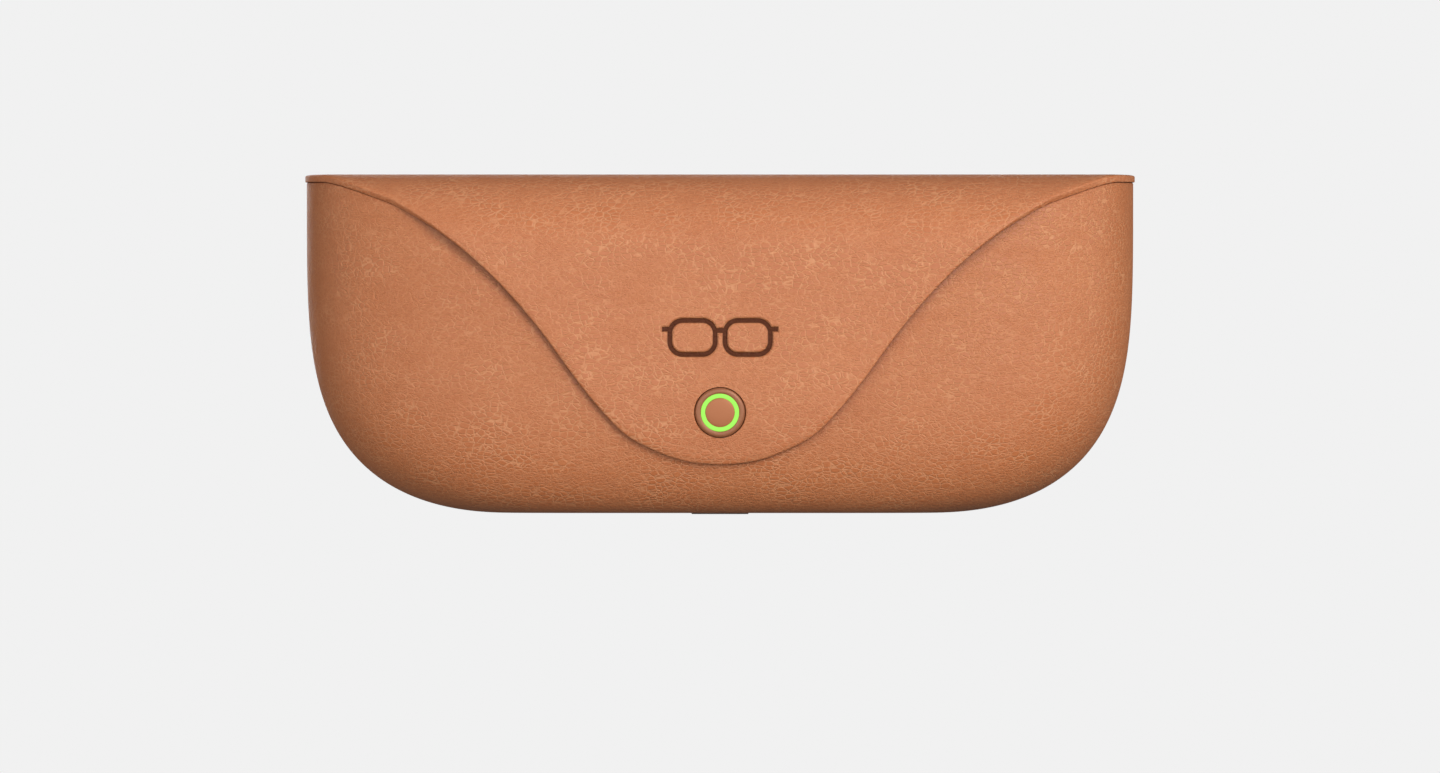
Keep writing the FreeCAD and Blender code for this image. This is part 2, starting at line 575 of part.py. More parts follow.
def make_port():
    hx, hy = PORT_HALF
    surround = stadium(hx, hy, 0, 3.0).fuse(stadium(hx + 1.6, hy + 1.6, BASE_Z + LEATHER + SHELL, 3.4))
    bevel = Part.makeLoft([stadium_wire(hx - 0.35, hy - 0.35, 0), stadium_wire(hx - PORT_WALL, hy - PORT_WALL, 0.6)],
                          True, True)
    surround = surround.cut(stadium(hx - PORT_WALL, hy - PORT_WALL, -1, 6)).cut(bevel)
    save("port_surround", surround)
    w, t, d = USB
    z0 = BOARD[4] - d
    shell = stadium(w / 2, t / 2, z0, BOARD[4]).cut(stadium(w / 2 - 0.3, t / 2 - 0.3, z0, BOARD[4] - 0.6))
    save("usb_shell", shell)
    tongue = box(-3.35, 3.35, -0.35, 0.35, z0 + 0.9, BOARD[4] - 0.6)
    save("usb_tongue", tongue)


def stadium_wire(half_x, half_y, z):
    flat = half_x - half_y
    right, left = Vec(half_x, 0, z), Vec(-half_x, 0, z)
    a, b = Vec(-flat, -half_y, z), Vec(flat, -half_y, z)
    c, d = Vec(flat, half_y, z), Vec(-flat, half_y, z)
    return Part.Wire([Part.makeLine(a, b), Part.Arc(b, right, c).toShape(), Part.makeLine(c, d),
                      Part.Arc(d, left, a).toShape()])


def make_button():
    y = BACK[2]
    axis_point = Vec(0, 0, BUTTON_Z)

    def disc(radius, y0, y1, hole=0.0):
        shape = ring(radius, hole, y0, y1)
        shape.translate(axis_point)
        return shape

    save("button_bezel", disc(BUTTON_BEZEL_R, y - LEATHER - SHELL, y + BUTTON_PROUD, BUTTON_R + 0.12))
    front = y + BUTTON_PROUD
    cap = revolve_y([(0, y - 1.0), (BUTTON_R, y - 1.0), (BUTTON_R, front - 0.3), (BUTTON_R - 0.09, front - 0.09),
                     (BUTTON_R - 0.3, front), (0, front)])
    cap.translate(axis_point)
    save("button_cap", cap)
    save("switch_plunger", disc(0.9, y - 2.0, y - 1.0))
    body = box(-2.0, 2.0, y - 2.4, y - 1.45, BUTTON_Z - 1.6, BUTTON_Z + 1.6)
    save("switch_body", body.cut(disc(1.0, y - 2.6, y - 1.0)))
    board = disc(BUTTON_BEZEL_R - 0.1, y + SHELL_IN - 0.52, y + SHELL_IN - 0.2)
    save("button_board", board)
    strip = envelope(SHELL_IN - 0.2, RIM_Z).cut(envelope(SHELL_IN - 0.4, RIM_Z))
    strip = strip.common(box(5.6, 8.4, 0, 40, 9.9, BUTTON_Z - 6))
    save("button_flex", strip)


def main():
    os.makedirs(OUT, exist_ok=True)
    make_body()
    make_flap()
    make_stud()
    make_dock()
    make_electronics()
    make_port()
    make_button()


main()
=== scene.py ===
"""A tan leather charging case for folded glasses, shut, in even pale studio air.

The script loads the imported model, replaces its leather, lining, stud and hinge with detailed surfaces worked
out with numpy, and gives every other part a procedural finish. Sizes in the classes are millimetres; meshes
are in metres in the model's own frame: +X along the case, -Y to the front, +Z up.
"""

import json
import logging
import math
from dataclasses import dataclass, field
from enum import Enum
from typing import Optional, Union

import bmesh
import bpy
import numpy as np
from mathutils import Matrix, Vector

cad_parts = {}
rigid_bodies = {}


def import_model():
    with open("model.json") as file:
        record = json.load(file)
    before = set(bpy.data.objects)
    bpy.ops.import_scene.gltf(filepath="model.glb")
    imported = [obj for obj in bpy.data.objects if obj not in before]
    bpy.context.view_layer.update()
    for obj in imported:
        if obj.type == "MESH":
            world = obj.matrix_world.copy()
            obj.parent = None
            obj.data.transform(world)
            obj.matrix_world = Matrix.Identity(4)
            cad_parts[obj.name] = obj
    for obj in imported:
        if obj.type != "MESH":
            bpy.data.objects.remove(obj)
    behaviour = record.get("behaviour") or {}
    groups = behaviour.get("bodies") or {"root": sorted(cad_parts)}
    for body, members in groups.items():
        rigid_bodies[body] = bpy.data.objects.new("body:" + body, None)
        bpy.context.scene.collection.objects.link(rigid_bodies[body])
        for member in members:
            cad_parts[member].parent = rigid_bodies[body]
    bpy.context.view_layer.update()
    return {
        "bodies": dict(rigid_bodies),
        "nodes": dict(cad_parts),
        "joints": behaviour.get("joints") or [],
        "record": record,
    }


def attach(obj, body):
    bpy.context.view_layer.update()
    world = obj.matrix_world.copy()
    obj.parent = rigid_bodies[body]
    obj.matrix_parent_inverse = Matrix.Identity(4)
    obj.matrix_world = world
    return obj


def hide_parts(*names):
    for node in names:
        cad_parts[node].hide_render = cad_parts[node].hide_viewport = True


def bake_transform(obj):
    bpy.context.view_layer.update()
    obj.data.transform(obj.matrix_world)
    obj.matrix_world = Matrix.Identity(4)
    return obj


Array = np.ndarray
Number = Union[float, Array]
Socket = bpy.types.NodeSocket
Step = tuple[Union[str, float], ...]
LOG = logging.getLogger("charging_case")
MM = 0.001


# ------------------------------------------------------------------------------------------ small helpers
def linear(colour: str) -> tuple[float, float, float, float]:
    """Turn an sRGB hex colour into linear red, green, blue and alpha.

    Args:
        colour: six hex digits after a hash.

    Returns:
        The linear colour with alpha 1.
    """
    parts = [int(colour[k:k + 2], 16) / 255 for k in (1, 3, 5)]
    red, green, blue = (v / 12.92 if v <= 0.04045 else ((v + 0.055) / 1.055) ** 2.4 for v in parts)
    return red, green, blue, 1.0


def add_node(tree: bpy.types.NodeTree, kind: str, settings: dict,
             links: Optional[dict] = None) -> bpy.types.Node:
    """Add one node with its settings and the links that come into it.

    Args:
        tree: the material's node tree.
        kind: Blender's name for the node.
        settings: input names or numbers, or node properties, with their values.
        links: input names or numbers with the output socket that feeds each.

    Returns:
        The new node.
    """
    node = tree.nodes.new(kind)
    for key, value in settings.items():
        if isinstance(key, int) or key in node.inputs:
            node.inputs[key].default_value = value
        else:
            setattr(node, key, value)
    for key, source in (links or {}).items():
        tree.links.new(source, node.inputs[key])
    return node


def grid_faces(rows: int, columns: int, start: int = 0, wrap: bool = False) -> Array:
    """List the quads of a grid of points that are numbered row by row.

    Args:
        rows: number of rows of points.
        columns: number of points in a row.
        start: number of the grid's first point.
        wrap: whether each row closes on itself.

    Returns:
        An array of quads, four point numbers each.
    """
    r, c = np.meshgrid(np.arange(rows - 1), np.arange(columns if wrap else columns - 1), indexing="ij")
    nxt = (c + 1) % columns
    quads = np.stack([r * columns + c, r * columns + nxt, (r + 1) * columns + nxt, (r + 1) * columns + c], -1)
    return quads.reshape(-1, 4) + start


def make_object(name: str, points: Array, faces: list, smooth_angle: float = 40.0,
                outward: bool = True, shades: Optional[Array] = None) -> bpy.types.Object:
    """Put points, in millimetres, and faces into a new smooth-shaded mesh object at the origin.

    Args:
        name: the piece's name.
        points: an array of points, three numbers each.
        faces: arrays or lists of point numbers.
        smooth_angle: edges sharper than this many degrees stay sharp.
        outward: whether doubles are merged and the faces turned to point outwards.
        shades: the number of each face's material, if there is more than one.

    Returns:
        The new object, linked into the scene.
    """
    mesh = bpy.data.meshes.new(name)
    polygons = [list(map(int, face)) for block in faces for face in block]
    mesh.from_pydata((np.asarray(points, float).reshape(-1, 3) * MM).tolist(), [], polygons)
    obj = bpy.data.objects.new(name, mesh)
    bpy.context.collection.objects.link(obj)
    if shades is not None:
        mesh.polygons.foreach_set("material_index", np.asarray(shades, np.int32))
    if outward:
        work = bmesh.new()
        work.from_mesh(mesh)
        bmesh.ops.remove_doubles(work, verts=work.verts, dist=2e-6)
        bmesh.ops.dissolve_degenerate(work, edges=work.edges, dist=1e-7)
        bmesh.ops.recalc_face_normals(work, faces=work.faces)
        work.to_mesh(mesh)
        work.free()
    mesh.polygons.foreach_set("use_smooth", np.ones(len(mesh.polygons), bool))
    mesh.set_sharp_from_angle(angle=math.radians(smooth_angle))
    mesh.update()
    return obj


def rounded(points: list[tuple[float, float]], radius: float, steps: int = 4) -> list[tuple[float, float]]:
    """Round the inner corners of an open profile with short circular-looking curves.

    Each corner is replaced by a quadratic curve that leaves and meets its two runs at most radius away.

    Args:
        points: the profile's corners.
        radius: distance from each corner at which the curve starts.
        steps: spans in each curve.

    Returns:
        The rounded profile.
    """
    out = [points[0]]
    for before, here, after in zip(points, points[1:], points[2:]):
        a, b, c = (np.array(p, float) for p in (before, here, after))
        ra = min(radius, 0.45 * np.linalg.norm(a - b))
        rc = min(radius, 0.45 * np.linalg.norm(c - b))
        start = b + (a - b) / np.linalg.norm(a - b) * ra
        end = b + (c - b) / np.linalg.norm(c - b) * rc
        for k in range(steps + 1):
            t = k / steps
            out.append(tuple((1 - t) ** 2 * start + 2 * t * (1 - t) * b + t * t * end))
    out.append(points[-1])
    return out


# ------------------------------------------------------------------------------------------ finishes
@dataclass(frozen=True)
class Finish:
    """A smooth moulded or coated surface with a faint uneven grain; the other finishes build on it."""

    name: str
    colour: str
    roughness: float = 0.5
    metallic: float = 0.0
    ior: float = 1.5
    grain_mm: float = 0.35
    grain_depth_mm: float = 0.01
    shade: float = 0.10

    def material(self) -> bpy.types.Material:
        """Build the material, or return it if it is already there."""
        found = bpy.data.materials.get(self.name)
        if found:
            return found
        made = bpy.data.materials.new(self.name)
        made.use_nodes = True
        tree = made.node_tree
        tree.nodes.clear()
        shader = add_node(tree, "ShaderNodeBsdfPrincipled", {
            "Base Color": linear(self.colour), "Roughness": self.roughness, "Metallic": self.metallic})
        if self.metallic < 0.5:
            shader.inputs["IOR"].default_value = self.ior
        output = add_node(tree, "ShaderNodeOutputMaterial", {})
        tree.links.new(shader.outputs["BSDF"], output.inputs["Surface"])
        place = add_node(tree, "ShaderNodeTexCoord", {}).outputs["Object"]
        self.dress(tree, shader, place)
        made.diffuse_color = linear(self.colour)
        return made

    def dress(self, tree: bpy.types.NodeTree, shader: bpy.types.Node, place: Socket) -> None:
        """Add the grain: fine noise shades the colour, wears the roughness and lifts the surface.

        Args:
            tree: the material's node tree.
            shader: its Principled shader.
            place: the piece's own coordinates.
        """
        noise = add_node(tree, "ShaderNodeTexNoise", {"Scale": 1 / (self.grain_mm * MM), "Detail": 4.0}, {
            "Vector": place})
        dark = tuple(c * (1 - self.shade) for c in linear(self.colour)[:3]) + (1.0,)
        pale = tuple(min(1.0, c * (1 + self.shade)) for c in linear(self.colour)[:3]) + (1.0,)
        mix = add_node(tree, "ShaderNodeMix", {"data_type": "RGBA", 6: dark, 7: pale}, {
            0: noise.outputs["Fac"]})
        tree.links.new(mix.outputs[2], shader.inputs["Base Color"])
        rough = add_node(tree, "ShaderNodeMapRange", {
            "To Min": max(0.02, self.roughness - 0.06), "To Max": min(1.0, self.roughness + 0.06)}, {
            "Value": noise.outputs["Fac"]})
        tree.links.new(rough.outputs[0], shader.inputs["Roughness"])
        bump = add_node(tree, "ShaderNodeBump", {"Strength": 1.0, "Distance": self.grain_depth_mm * MM}, {
            "Height": noise.outputs["Fac"]})
        tree.links.new(bump.outputs["Normal"], shader.inputs["Normal"])


@dataclass(frozen=True)
class SpectacleStamp:
    """The hot-stamped outline of a pair of spectacles on the front of the flap, in millimetres.

    Each lens is a rounded rectangle, mirrored across the middle: the distance to its line, less half the
    line's width, is below zero inside the line. A short bar bridges the lenses, and a bar on each side starts
    the temple. The inked mask is 1 inside and falls to 0 over a tenth of a millimetre. The pressed mask falls
    over half a millimetre, as leather gives way beside a hot stamp.
    """

    dye: str = "#552D1C"
    dyed_specular: float = 0.08
    depth_in_cells: float = 5.0
    half_line: float = 0.46
    corner: float = 2.5
    lens_middle: tuple[float, float] = (5.35, 34.4)
    lens_half: tuple[float, float] = (4.4, 3.3)
    bridge: tuple[float, float] = (1.15, 1.35)
    temple: tuple[float, float] = (0.75, 1.6)
    inked_fall: tuple[float, float] = (0.05, -0.05)
    pressed_fall: tuple[float, float] = (0.32, -0.2)

    def box_steps(self, name: str, middle: tuple[float, float], half: tuple[float, float]) -> list[Step]:
        """Steps that find how far a point lies outside a level box, along X and along Z.

        Args:
            name: the box's name, which begins the names of its two results.
            middle: the box's middle, (x, z).
            half: half of its width and of its height.

        Returns:
            The steps, whose results are name_dx and name_dz.
        """
        steps = []
        for axis, at, reach in zip("xz", middle, half):
            steps += [(f"{name}_from_{axis}", "SUBTRACT", axis, at),
                      (f"{name}_off_{axis}", "ABSOLUTE", f"{name}_from_{axis}"),
                      (f"{name}_d{axis}", "SUBTRACT", f"{name}_off_{axis}", reach)]
        return steps

    def steps(self) -> list[Step]:
        """The sums that find the distance to the nearest line, one (result, operation, terms) a step.

        Returns:
            The steps, which begin from the coordinates X, Y and Z and end with nearest and front.
        """
        (cx, cz), line = self.lens_middle, self.half_line
        (bridge_half, bridge_up), (temple_half, temple_up) = self.bridge, self.temple
        steps = [("x_mm", "MULTIPLY", "X", 1 / MM), ("x", "ABSOLUTE", "x_mm"), ("z", "MULTIPLY", "Z", 1 / MM)]
        steps += self.box_steps("lens", (cx, cz), tuple(half - self.corner for half in self.lens_half))
        steps += self.box_steps("bridge", (0.0, cz + bridge_up), (bridge_half, line))
        steps += self.box_steps("temple", (cx + self.lens_half[0] + temple_half, cz + temple_up),
                                (temple_half, line))
        return steps + [
            ("out_x", "MAXIMUM", "lens_dx", 0.0), ("out_z", "MAXIMUM", "lens_dz", 0.0),
            ("square_x", "MULTIPLY", "out_x", "out_x"), ("square_z", "MULTIPLY", "out_z", "out_z"),
            ("square", "ADD", "square_x", "square_z"), ("far", "SQRT", "square"),
            ("deepest", "MAXIMUM", "lens_dx", "lens_dz"), ("near", "MINIMUM", "deepest", 0.0),
            ("lens", "ADD", "far", "near"), ("rim", "SUBTRACT", "lens", self.corner),
            ("beside", "ABSOLUTE", "rim"), ("ring", "SUBTRACT", "beside", line),
            ("bridge", "MAXIMUM", "bridge_dx", "bridge_dz"), ("temple", "MAXIMUM", "temple_dx", "temple_dz"),
            ("joined", "MINIMUM", "ring", "bridge"), ("nearest", "MINIMUM", "joined", "temple"),
            ("front", "LESS_THAN", "Y", -20.0 * MM)]

    def masks(self, tree: bpy.types.NodeTree, place: Socket) -> tuple[Socket, Socket]:
        """Add the nodes of every step, then the two masks.

        Args:
            tree: the material's node tree.
            place: the piece's own coordinates.

        Returns:
            The output sockets of the inked and the pressed mask.
        """
        split = add_node(tree, "ShaderNodeSeparateXYZ", {}, {0: place})
        found = {axis: split.outputs[axis] for axis in "XYZ"}
        for name, operation, *terms in self.steps():
            numbers = {slot: term for slot, term in enumerate(terms) if not isinstance(term, str)}
            sockets = {slot: found[term] for slot, term in enumerate(terms) if isinstance(term, str)}
            step = add_node(tree, "ShaderNodeMath", {"operation": operation} | numbers, sockets)
            found[name] = step.outputs[0]
        masks = []
        for outer, inner in (self.inked_fall, self.pressed_fall):
            fall = add_node(tree, "ShaderNodeMapRange", {
                "From Min": outer, "From Max": inner, "interpolation_type": "SMOOTHSTEP"}, {
                "Value": found["nearest"]})
            masks.append(add_node(tree, "ShaderNodeMath", {"operation": "MULTIPLY"}, {
                0: fall.outputs[0], 1: found["front"]}).outputs[0])
        return masks[0], masks[1]


@dataclass(frozen=True)
class PebbledLeather(Finish):
    """Drum-dyed, pebble-grained calf leather: soft cells parted by paler creases, with a low waxy sheen.

    The cells are a Voronoi pattern, stretched along X, whose borders are bent by noise. The distance to a
    border rounds each cell into a low dome and makes its heart darker. Soft patches show smaller cells and
    paler creases. A slow noise drifts the shade over the hide, and a fast one adds pores. Where the painted
    shadow's reach is set, ambient occlusion darkens the colour where another piece lies within that reach:
    a painted contact shadow between parts. With a stamp it has the stamped mark.
    """

    roughness: float = 0.55
    cell_mm: float = 1.05
    cell_depth_mm: float = 0.08
    stretch: tuple[float, float, float] = (0.74, 1.0, 1.2)
    small_cell_share: float = 0.55
    crease: str = "#D79A70"
    crease_widths: tuple[float, float] = (0.14, 0.2)
    crease_strengths: tuple[float, float] = (0.44, 0.18)
    heart: tuple[float, float] = (0.04, 0.4)
    heart_strength: float = 0.85
    deep: tuple[float, float, float] = (0.86, 0.76, 0.69)
    bend_mm: float = 2.0
    bend_reach_mm: float = 0.9
    patch_mm: float = 6.0
    pore_mm: float = 0.3
    pore_strength: float = 0.14
    pore_height: float = 0.12
    drift_mm: float = 16.0
    # Painted shadow: how far the ambient occlusion reaches, and the colour the leather is darkened towards
    # near other pieces.
    grime_mm: float = 0.0
    grime: str = "#4E2210"
    shift_mm: tuple[float, float, float] = (0.0, 0.0, 0.0)
    stamp: Optional[SpectacleStamp] = None

    def dress(self, tree: bpy.types.NodeTree, shader: bpy.types.Node, place: Socket) -> None:
        """Add the cells, creases, pores and slow drift of shade, the grime and the stamped mark.

        Args:
            tree: the material's node tree.
            shader: its Principled shader.
            place: the piece's own coordinates.
        """
        mapped = add_node(tree, "ShaderNodeMapping", {
            "Location": tuple(v * MM for v in self.shift_mm), "Scale": self.stretch}, {"Vector": place})
        noises = {}
        for name, size, detail in (("bend", self.bend_mm, 2.0), ("patch", self.patch_mm, 2.0),
                                   ("pores", self.pore_mm, 3.0), ("drift", self.drift_mm, 3.0)):
            noises[name] = add_node(tree, "ShaderNodeTexNoise", {
                "Scale": 1 / (size * MM), "Detail": detail}, {"Vector": mapped.outputs[0]})
        patch, pores = noises["patch"].outputs["Fac"], noises["pores"].outputs["Fac"]
        centred = add_node(tree, "ShaderNodeVectorMath", {"operation": "SUBTRACT", 1: (0.5, 0.5, 0.5)}, {
            0: noises["bend"].outputs["Color"]})
        scaled = add_node(tree, "ShaderNodeVectorMath", {
            "operation": "SCALE", "Scale": self.bend_reach_mm * MM}, {0: centred.outputs[0]})
        moved = add_node(tree, "ShaderNodeVectorMath", {"operation": "ADD"}, {
            0: mapped.outputs[0], 1: scaled.outputs[0]}).outputs[0]
        border = add_node(tree, "ShaderNodeTexVoronoi", {
            "feature": "DISTANCE_TO_EDGE", "Scale": 1 / (self.cell_mm * MM)}, {"Vector": moved})
        small = add_node(tree, "ShaderNodeTexVoronoi", {
            "feature": "DISTANCE_TO_EDGE", "Scale": 1 / (self.small_cell_share * self.cell_mm * MM)}, {
            "Vector": moved})
        tint = add_node(tree, "ShaderNodeTexVoronoi", {"Scale": 1 / (self.cell_mm * MM)}, {"Vector": moved})
        dome, little = (add_node(tree, "ShaderNodeMapRange", {
            "interpolation_type": "SMOOTHSTEP", "From Max": width}, {"Value": cell.outputs["Distance"]})
            for cell, width in zip((border, small), self.crease_widths))
        # In the soft patches the dome is mixed with the small cells' dome.
        blend = add_node(tree, "ShaderNodeMapRange", {
            "From Min": 0.38, "From Max": 0.62, "To Min": 0.05, "To Max": 0.55}, {"Value": patch})
        cells = add_node(tree, "ShaderNodeMix", {"data_type": "FLOAT"}, {
            0: blend.outputs[0], 2: dome.outputs[0], 3: little.outputs[0]}).outputs[0]
        base = linear(self.colour)
        deep = tuple(c * f for c, f in zip(base[:3], self.deep)) + (1.0,)
        hide = add_node(tree, "ShaderNodeMix", {"data_type": "RGBA", 6: deep, 7: base}, {
            0: noises["drift"].outputs["Fac"]})
        lot = add_node(tree, "ShaderNodeSeparateColor", {}, {0: tint.outputs["Color"]})
        heart = add_node(tree, "ShaderNodeMapRange", {
            "interpolation_type": "SMOOTHSTEP", "From Min": self.heart[0], "From Max": self.heart[1],
            "To Max": self.heart_strength}, {"Value": border.outputs["Distance"]})
        spread = add_node(tree, "ShaderNodeMath", {"operation": "MULTIPLY"}, {
            0: heart.outputs[0], 1: lot.outputs[0]})
        varied = add_node(tree, "ShaderNodeMix", {"data_type": "RGBA", 7: deep}, {
            0: spread.outputs[0], 6: hide.outputs[2]})
        speck = add_node(tree, "ShaderNodeMapRange", {
            "From Min": 0.35, "From Max": 0.65, "To Max": self.pore_strength}, {"Value": pores})
        worn = add_node(tree, "ShaderNodeMix", {"data_type": "RGBA", 7: deep}, {
            0: speck.outputs[0], 6: varied.outputs[2]})
        show = add_node(tree, "ShaderNodeMapRange", {
            "From Min": 0.3, "From Max": 0.7, "To Min": self.crease_strengths[0],
            "To Max": self.crease_strengths[1]}, {"Value": patch})
        gap = add_node(tree, "ShaderNodeMath", {"operation": "SUBTRACT", 0: 1.0}, {1: cells})
        web = add_node(tree, "ShaderNodeMath", {"operation": "MULTIPLY"}, {
            0: gap.outputs[0], 1: show.outputs[0]})
        colour = add_node(tree, "ShaderNodeMix", {"data_type": "RGBA", 7: linear(self.crease)}, {
            0: web.outputs[0], 6: worn.outputs[2]}).outputs[2]
        height = add_node(tree, "ShaderNodeMath", {"operation": "MULTIPLY_ADD", 1: self.pore_height}, {
            0: pores, 2: cells}).outputs[0]
        if self.stamp:
            inked, pressed = self.stamp.masks(tree, place)
            colour = add_node(tree, "ShaderNodeMix", {"data_type": "RGBA", 7: linear(self.stamp.dye)}, {
                0: inked, 6: colour}).outputs[2]
            shine = shader.inputs["Specular IOR Level"]
            matt = add_node(tree, "ShaderNodeMapRange", {
                "To Min": shine.default_value, "To Max": self.stamp.dyed_specular}, {"Value": inked})
            tree.links.new(matt.outputs[0], shine)
            height = add_node(tree, "ShaderNodeMath", {
                "operation": "MULTIPLY_ADD", 1: -self.stamp.depth_in_cells}, {
                0: pressed, 2: height}).outputs[0]
        # Painted shadow: ambient occlusion darkens the colour where another piece is near, standing in for the
        # shadow under the flap's edge.
        if self.grime_mm > 0:
            near = add_node(tree, "ShaderNodeAmbientOcclusion", {
                "samples": 8, "Distance": self.grime_mm * MM})
            colour = add_node(tree, "ShaderNodeMix", {"data_type": "RGBA", 6: linear(self.grime)}, {
                0: near.outputs["AO"], 7: colour}).outputs[2]
        tree.links.new(colour, shader.inputs["Base Color"])
        rough = add_node(tree, "ShaderNodeMapRange", {
            "To Min": self.roughness + 0.1, "To Max": self.roughness - 0.04}, {"Value": cells})
        tree.links.new(rough.outputs[0], shader.inputs["Roughness"])
        bump = add_node(tree, "ShaderNodeBump", {"Strength": 1.0, "Distance": self.cell_depth_mm * MM}, {
            "Height": height})
        tree.links.new(bump.outputs["Normal"], shader.inputs["Normal"])


@dataclass(frozen=True)
class BrushedMetal(Finish):
    """Bare or anodised metal, brushed or blasted: noise stretched along X draws the brush marks."""

    stretch: float = 12.0

    def dress(self, tree: bpy.types.NodeTree, shader: bpy.types.Node, place: Socket) -> None:
        """Add brush marks to the roughness and the surface."""
        mapped = add_node(tree, "ShaderNodeMapping", {"Scale": (1 / self.stretch, 1.0, 1.0)}, {
            "Vector": place})
        marks = add_node(tree, "ShaderNodeTexNoise", {"Scale": 1 / (self.grain_mm * MM), "Detail": 3.0}, {
            "Vector": mapped.outputs[0]})
        rough = add_node(tree, "ShaderNodeMapRange", {
            "To Min": max(0.05, self.roughness - 0.08), "To Max": self.roughness + 0.08}, {
            "Value": marks.outputs["Fac"]})
        tree.links.new(rough.outputs[0], shader.inputs["Roughness"])
        bump = add_node(tree, "ShaderNodeBump", {"Strength": 0.6, "Distance": self.grain_depth_mm * MM}, {
            "Height": marks.outputs["Fac"]})
        tree.links.new(bump.outputs["Normal"], shader.inputs["Normal"])


@dataclass(frozen=True)
class Suede(Finish):
    """Brushed microsuede: a short nap whose lie changes in soft patches, with a dusty edge sheen."""

    patch_mm: float = 5.0
    mottle: tuple[float, float] = (0.8, 1.25)
    sheen: str = "#B49C88"

    def dress(self, tree: bpy.types.NodeTree, shader: bpy.types.Node, place: Socket) -> None:
        """Add the nap's fibres and its patches, and the sheen."""
        super().dress(tree, shader, place)
        shader.inputs["Sheen Weight"].default_value = 0.35
        shader.inputs["Sheen Roughness"].default_value = 0.5
        shader.inputs["Sheen Tint"].default_value = linear(self.sheen)
        patch = add_node(tree, "ShaderNodeTexNoise", {"Scale": 1 / (self.patch_mm * MM), "Detail": 3.0}, {
            "Vector": place})
        fibre = add_node(tree, "ShaderNodeTexNoise", {"Scale": 1 / (self.grain_mm * MM), "Detail": 5.0}, {
            "Vector": place})
        total = add_node(tree, "ShaderNodeMath", {"operation": "MULTIPLY"}, {
            0: patch.outputs["Fac"], 1: fibre.outputs["Fac"]})
        dark, pale = (tuple(c * f for c in linear(self.colour)[:3]) + (1.0,) for f in self.mottle)
        spread = add_node(tree, "ShaderNodeMapRange", {"From Min": 0.12, "From Max": 0.42}, {
            "Value": total.outputs[0]})
        mix = add_node(tree, "ShaderNodeMix", {"data_type": "RGBA", 6: dark, 7: pale}, {0: spread.outputs[0]})
        tree.links.new(mix.outputs[2], shader.inputs["Base Color"])


@dataclass(frozen=True)
class LitPlastic(Finish):
    """A milky light guide lit from behind by small lamps, even along its length."""

    glow: str = "#A2FA55"
    strength: float = 1.0

    def dress(self, tree: bpy.types.NodeTree, shader: bpy.types.Node, place: Socket) -> None:
        """Add a faint grain, and the glow."""
        super().dress(tree, shader, place)
        shader.inputs["Emission Color"].default_value = linear(self.glow)
        shader.inputs["Emission Strength"].default_value = self.strength


# The body's leather carries a painted contact shadow within 3 mm of other pieces.
LEATHER_BODY = PebbledLeather("pebbled_calf_leather_body", "#BA7042", crease="#D8A074", grime_mm=3.0)
LEATHER_FLAP = PebbledLeather("pebbled_calf_leather_flap", "#BE7346", crease="#DDA578",
                              shift_mm=(37.0, 11.0, 23.0), stamp=SpectacleStamp())
# Edge paint as leather goods have, made near-black so that it also stands in for the shaded gap under the
# flap's edge: partly real paint, partly painted shade.
EDGE_PAINT_AND_GAP_SHADE = Finish("burnished_edge_paint_and_gap_shade", "#2C1208", roughness=0.8, grain_mm=0.5, grain_depth_mm=0.01)
TAN_METAL = BrushedMetal("blasted_anodised_aluminium_tan", "#945C3B", roughness=0.42, metallic=0.2,
                         grain_mm=0.2, grain_depth_mm=0.004, stretch=1.0)
TAN_CAP = BrushedMetal("blasted_anodised_aluminium_tan_dark", "#A9673F", roughness=0.5, metallic=0.2,
                       grain_mm=0.2, grain_depth_mm=0.004, stretch=1.0)
LIGHT_GUIDE = LitPlastic("lit_polycarbonate_light_guide", "#16240E")
SUEDE = Suede("brushed_microsuede", "#5A483C", roughness=0.9, grain_mm=0.25, grain_depth_mm=0.03)


class SlotFinish(Enum):
    """The finish of each of the record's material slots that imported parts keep."""

    shell_plastic = Finish("moulded_pc_abs_black", "#2A2624", roughness=0.55)
    tray_plastic = Finish("moulded_abs_dark_brown", "#2E2A28", roughness=0.55)
    pocket_suede = SUEDE
    trim_plastic = Finish("textured_abs_chocolate", "#4A3226", grain_mm=0.25, grain_depth_mm=0.015)
    stiffener_sheet = Finish("rolled_pet_board_black", "#1E1C1B", roughness=0.6)
    steel_parts = BrushedMetal("brushed_stainless_steel", "#A5A5A6", roughness=0.32, metallic=1.0)
    magnet_nickel = BrushedMetal("nickel_plated_magnet", "#B9B9BA", roughness=0.2, metallic=1.0)
    tan_leather = LEATHER_BODY
    tan_anodised = TAN_METAL
    light_guide = LIGHT_GUIDE
    circuit_board = Finish("glass_epoxy_solder_mask_green", "#15402B", roughness=0.35, grain_mm=0.6)
    chip_plastic = Finish("moulded_epoxy_black", "#161616", roughness=0.5)
    cell_foil = BrushedMetal("laminated_foil_pouch", "#5A5D62", roughness=0.4, metallic=0.7, stretch=2.0)
    foam_rubber = Finish("cellular_foam_rubber", "#222222", roughness=0.95, grain_mm=0.7, grain_depth_mm=0.12)
    contact_gold = BrushedMetal("gold_plated_brass", "#D8A943", roughness=0.22, metallic=1.0)
    dock_plastic = Finish("satin_abs_black", "#1C1B1B", roughness=0.38)
    flex_film = Finish("polyimide_film_amber", "#8A4A16", roughness=0.3, grain_mm=0.8)
    wire_rubber = Finish("silicone_sheath_red", "#7A1512", roughness=0.5)


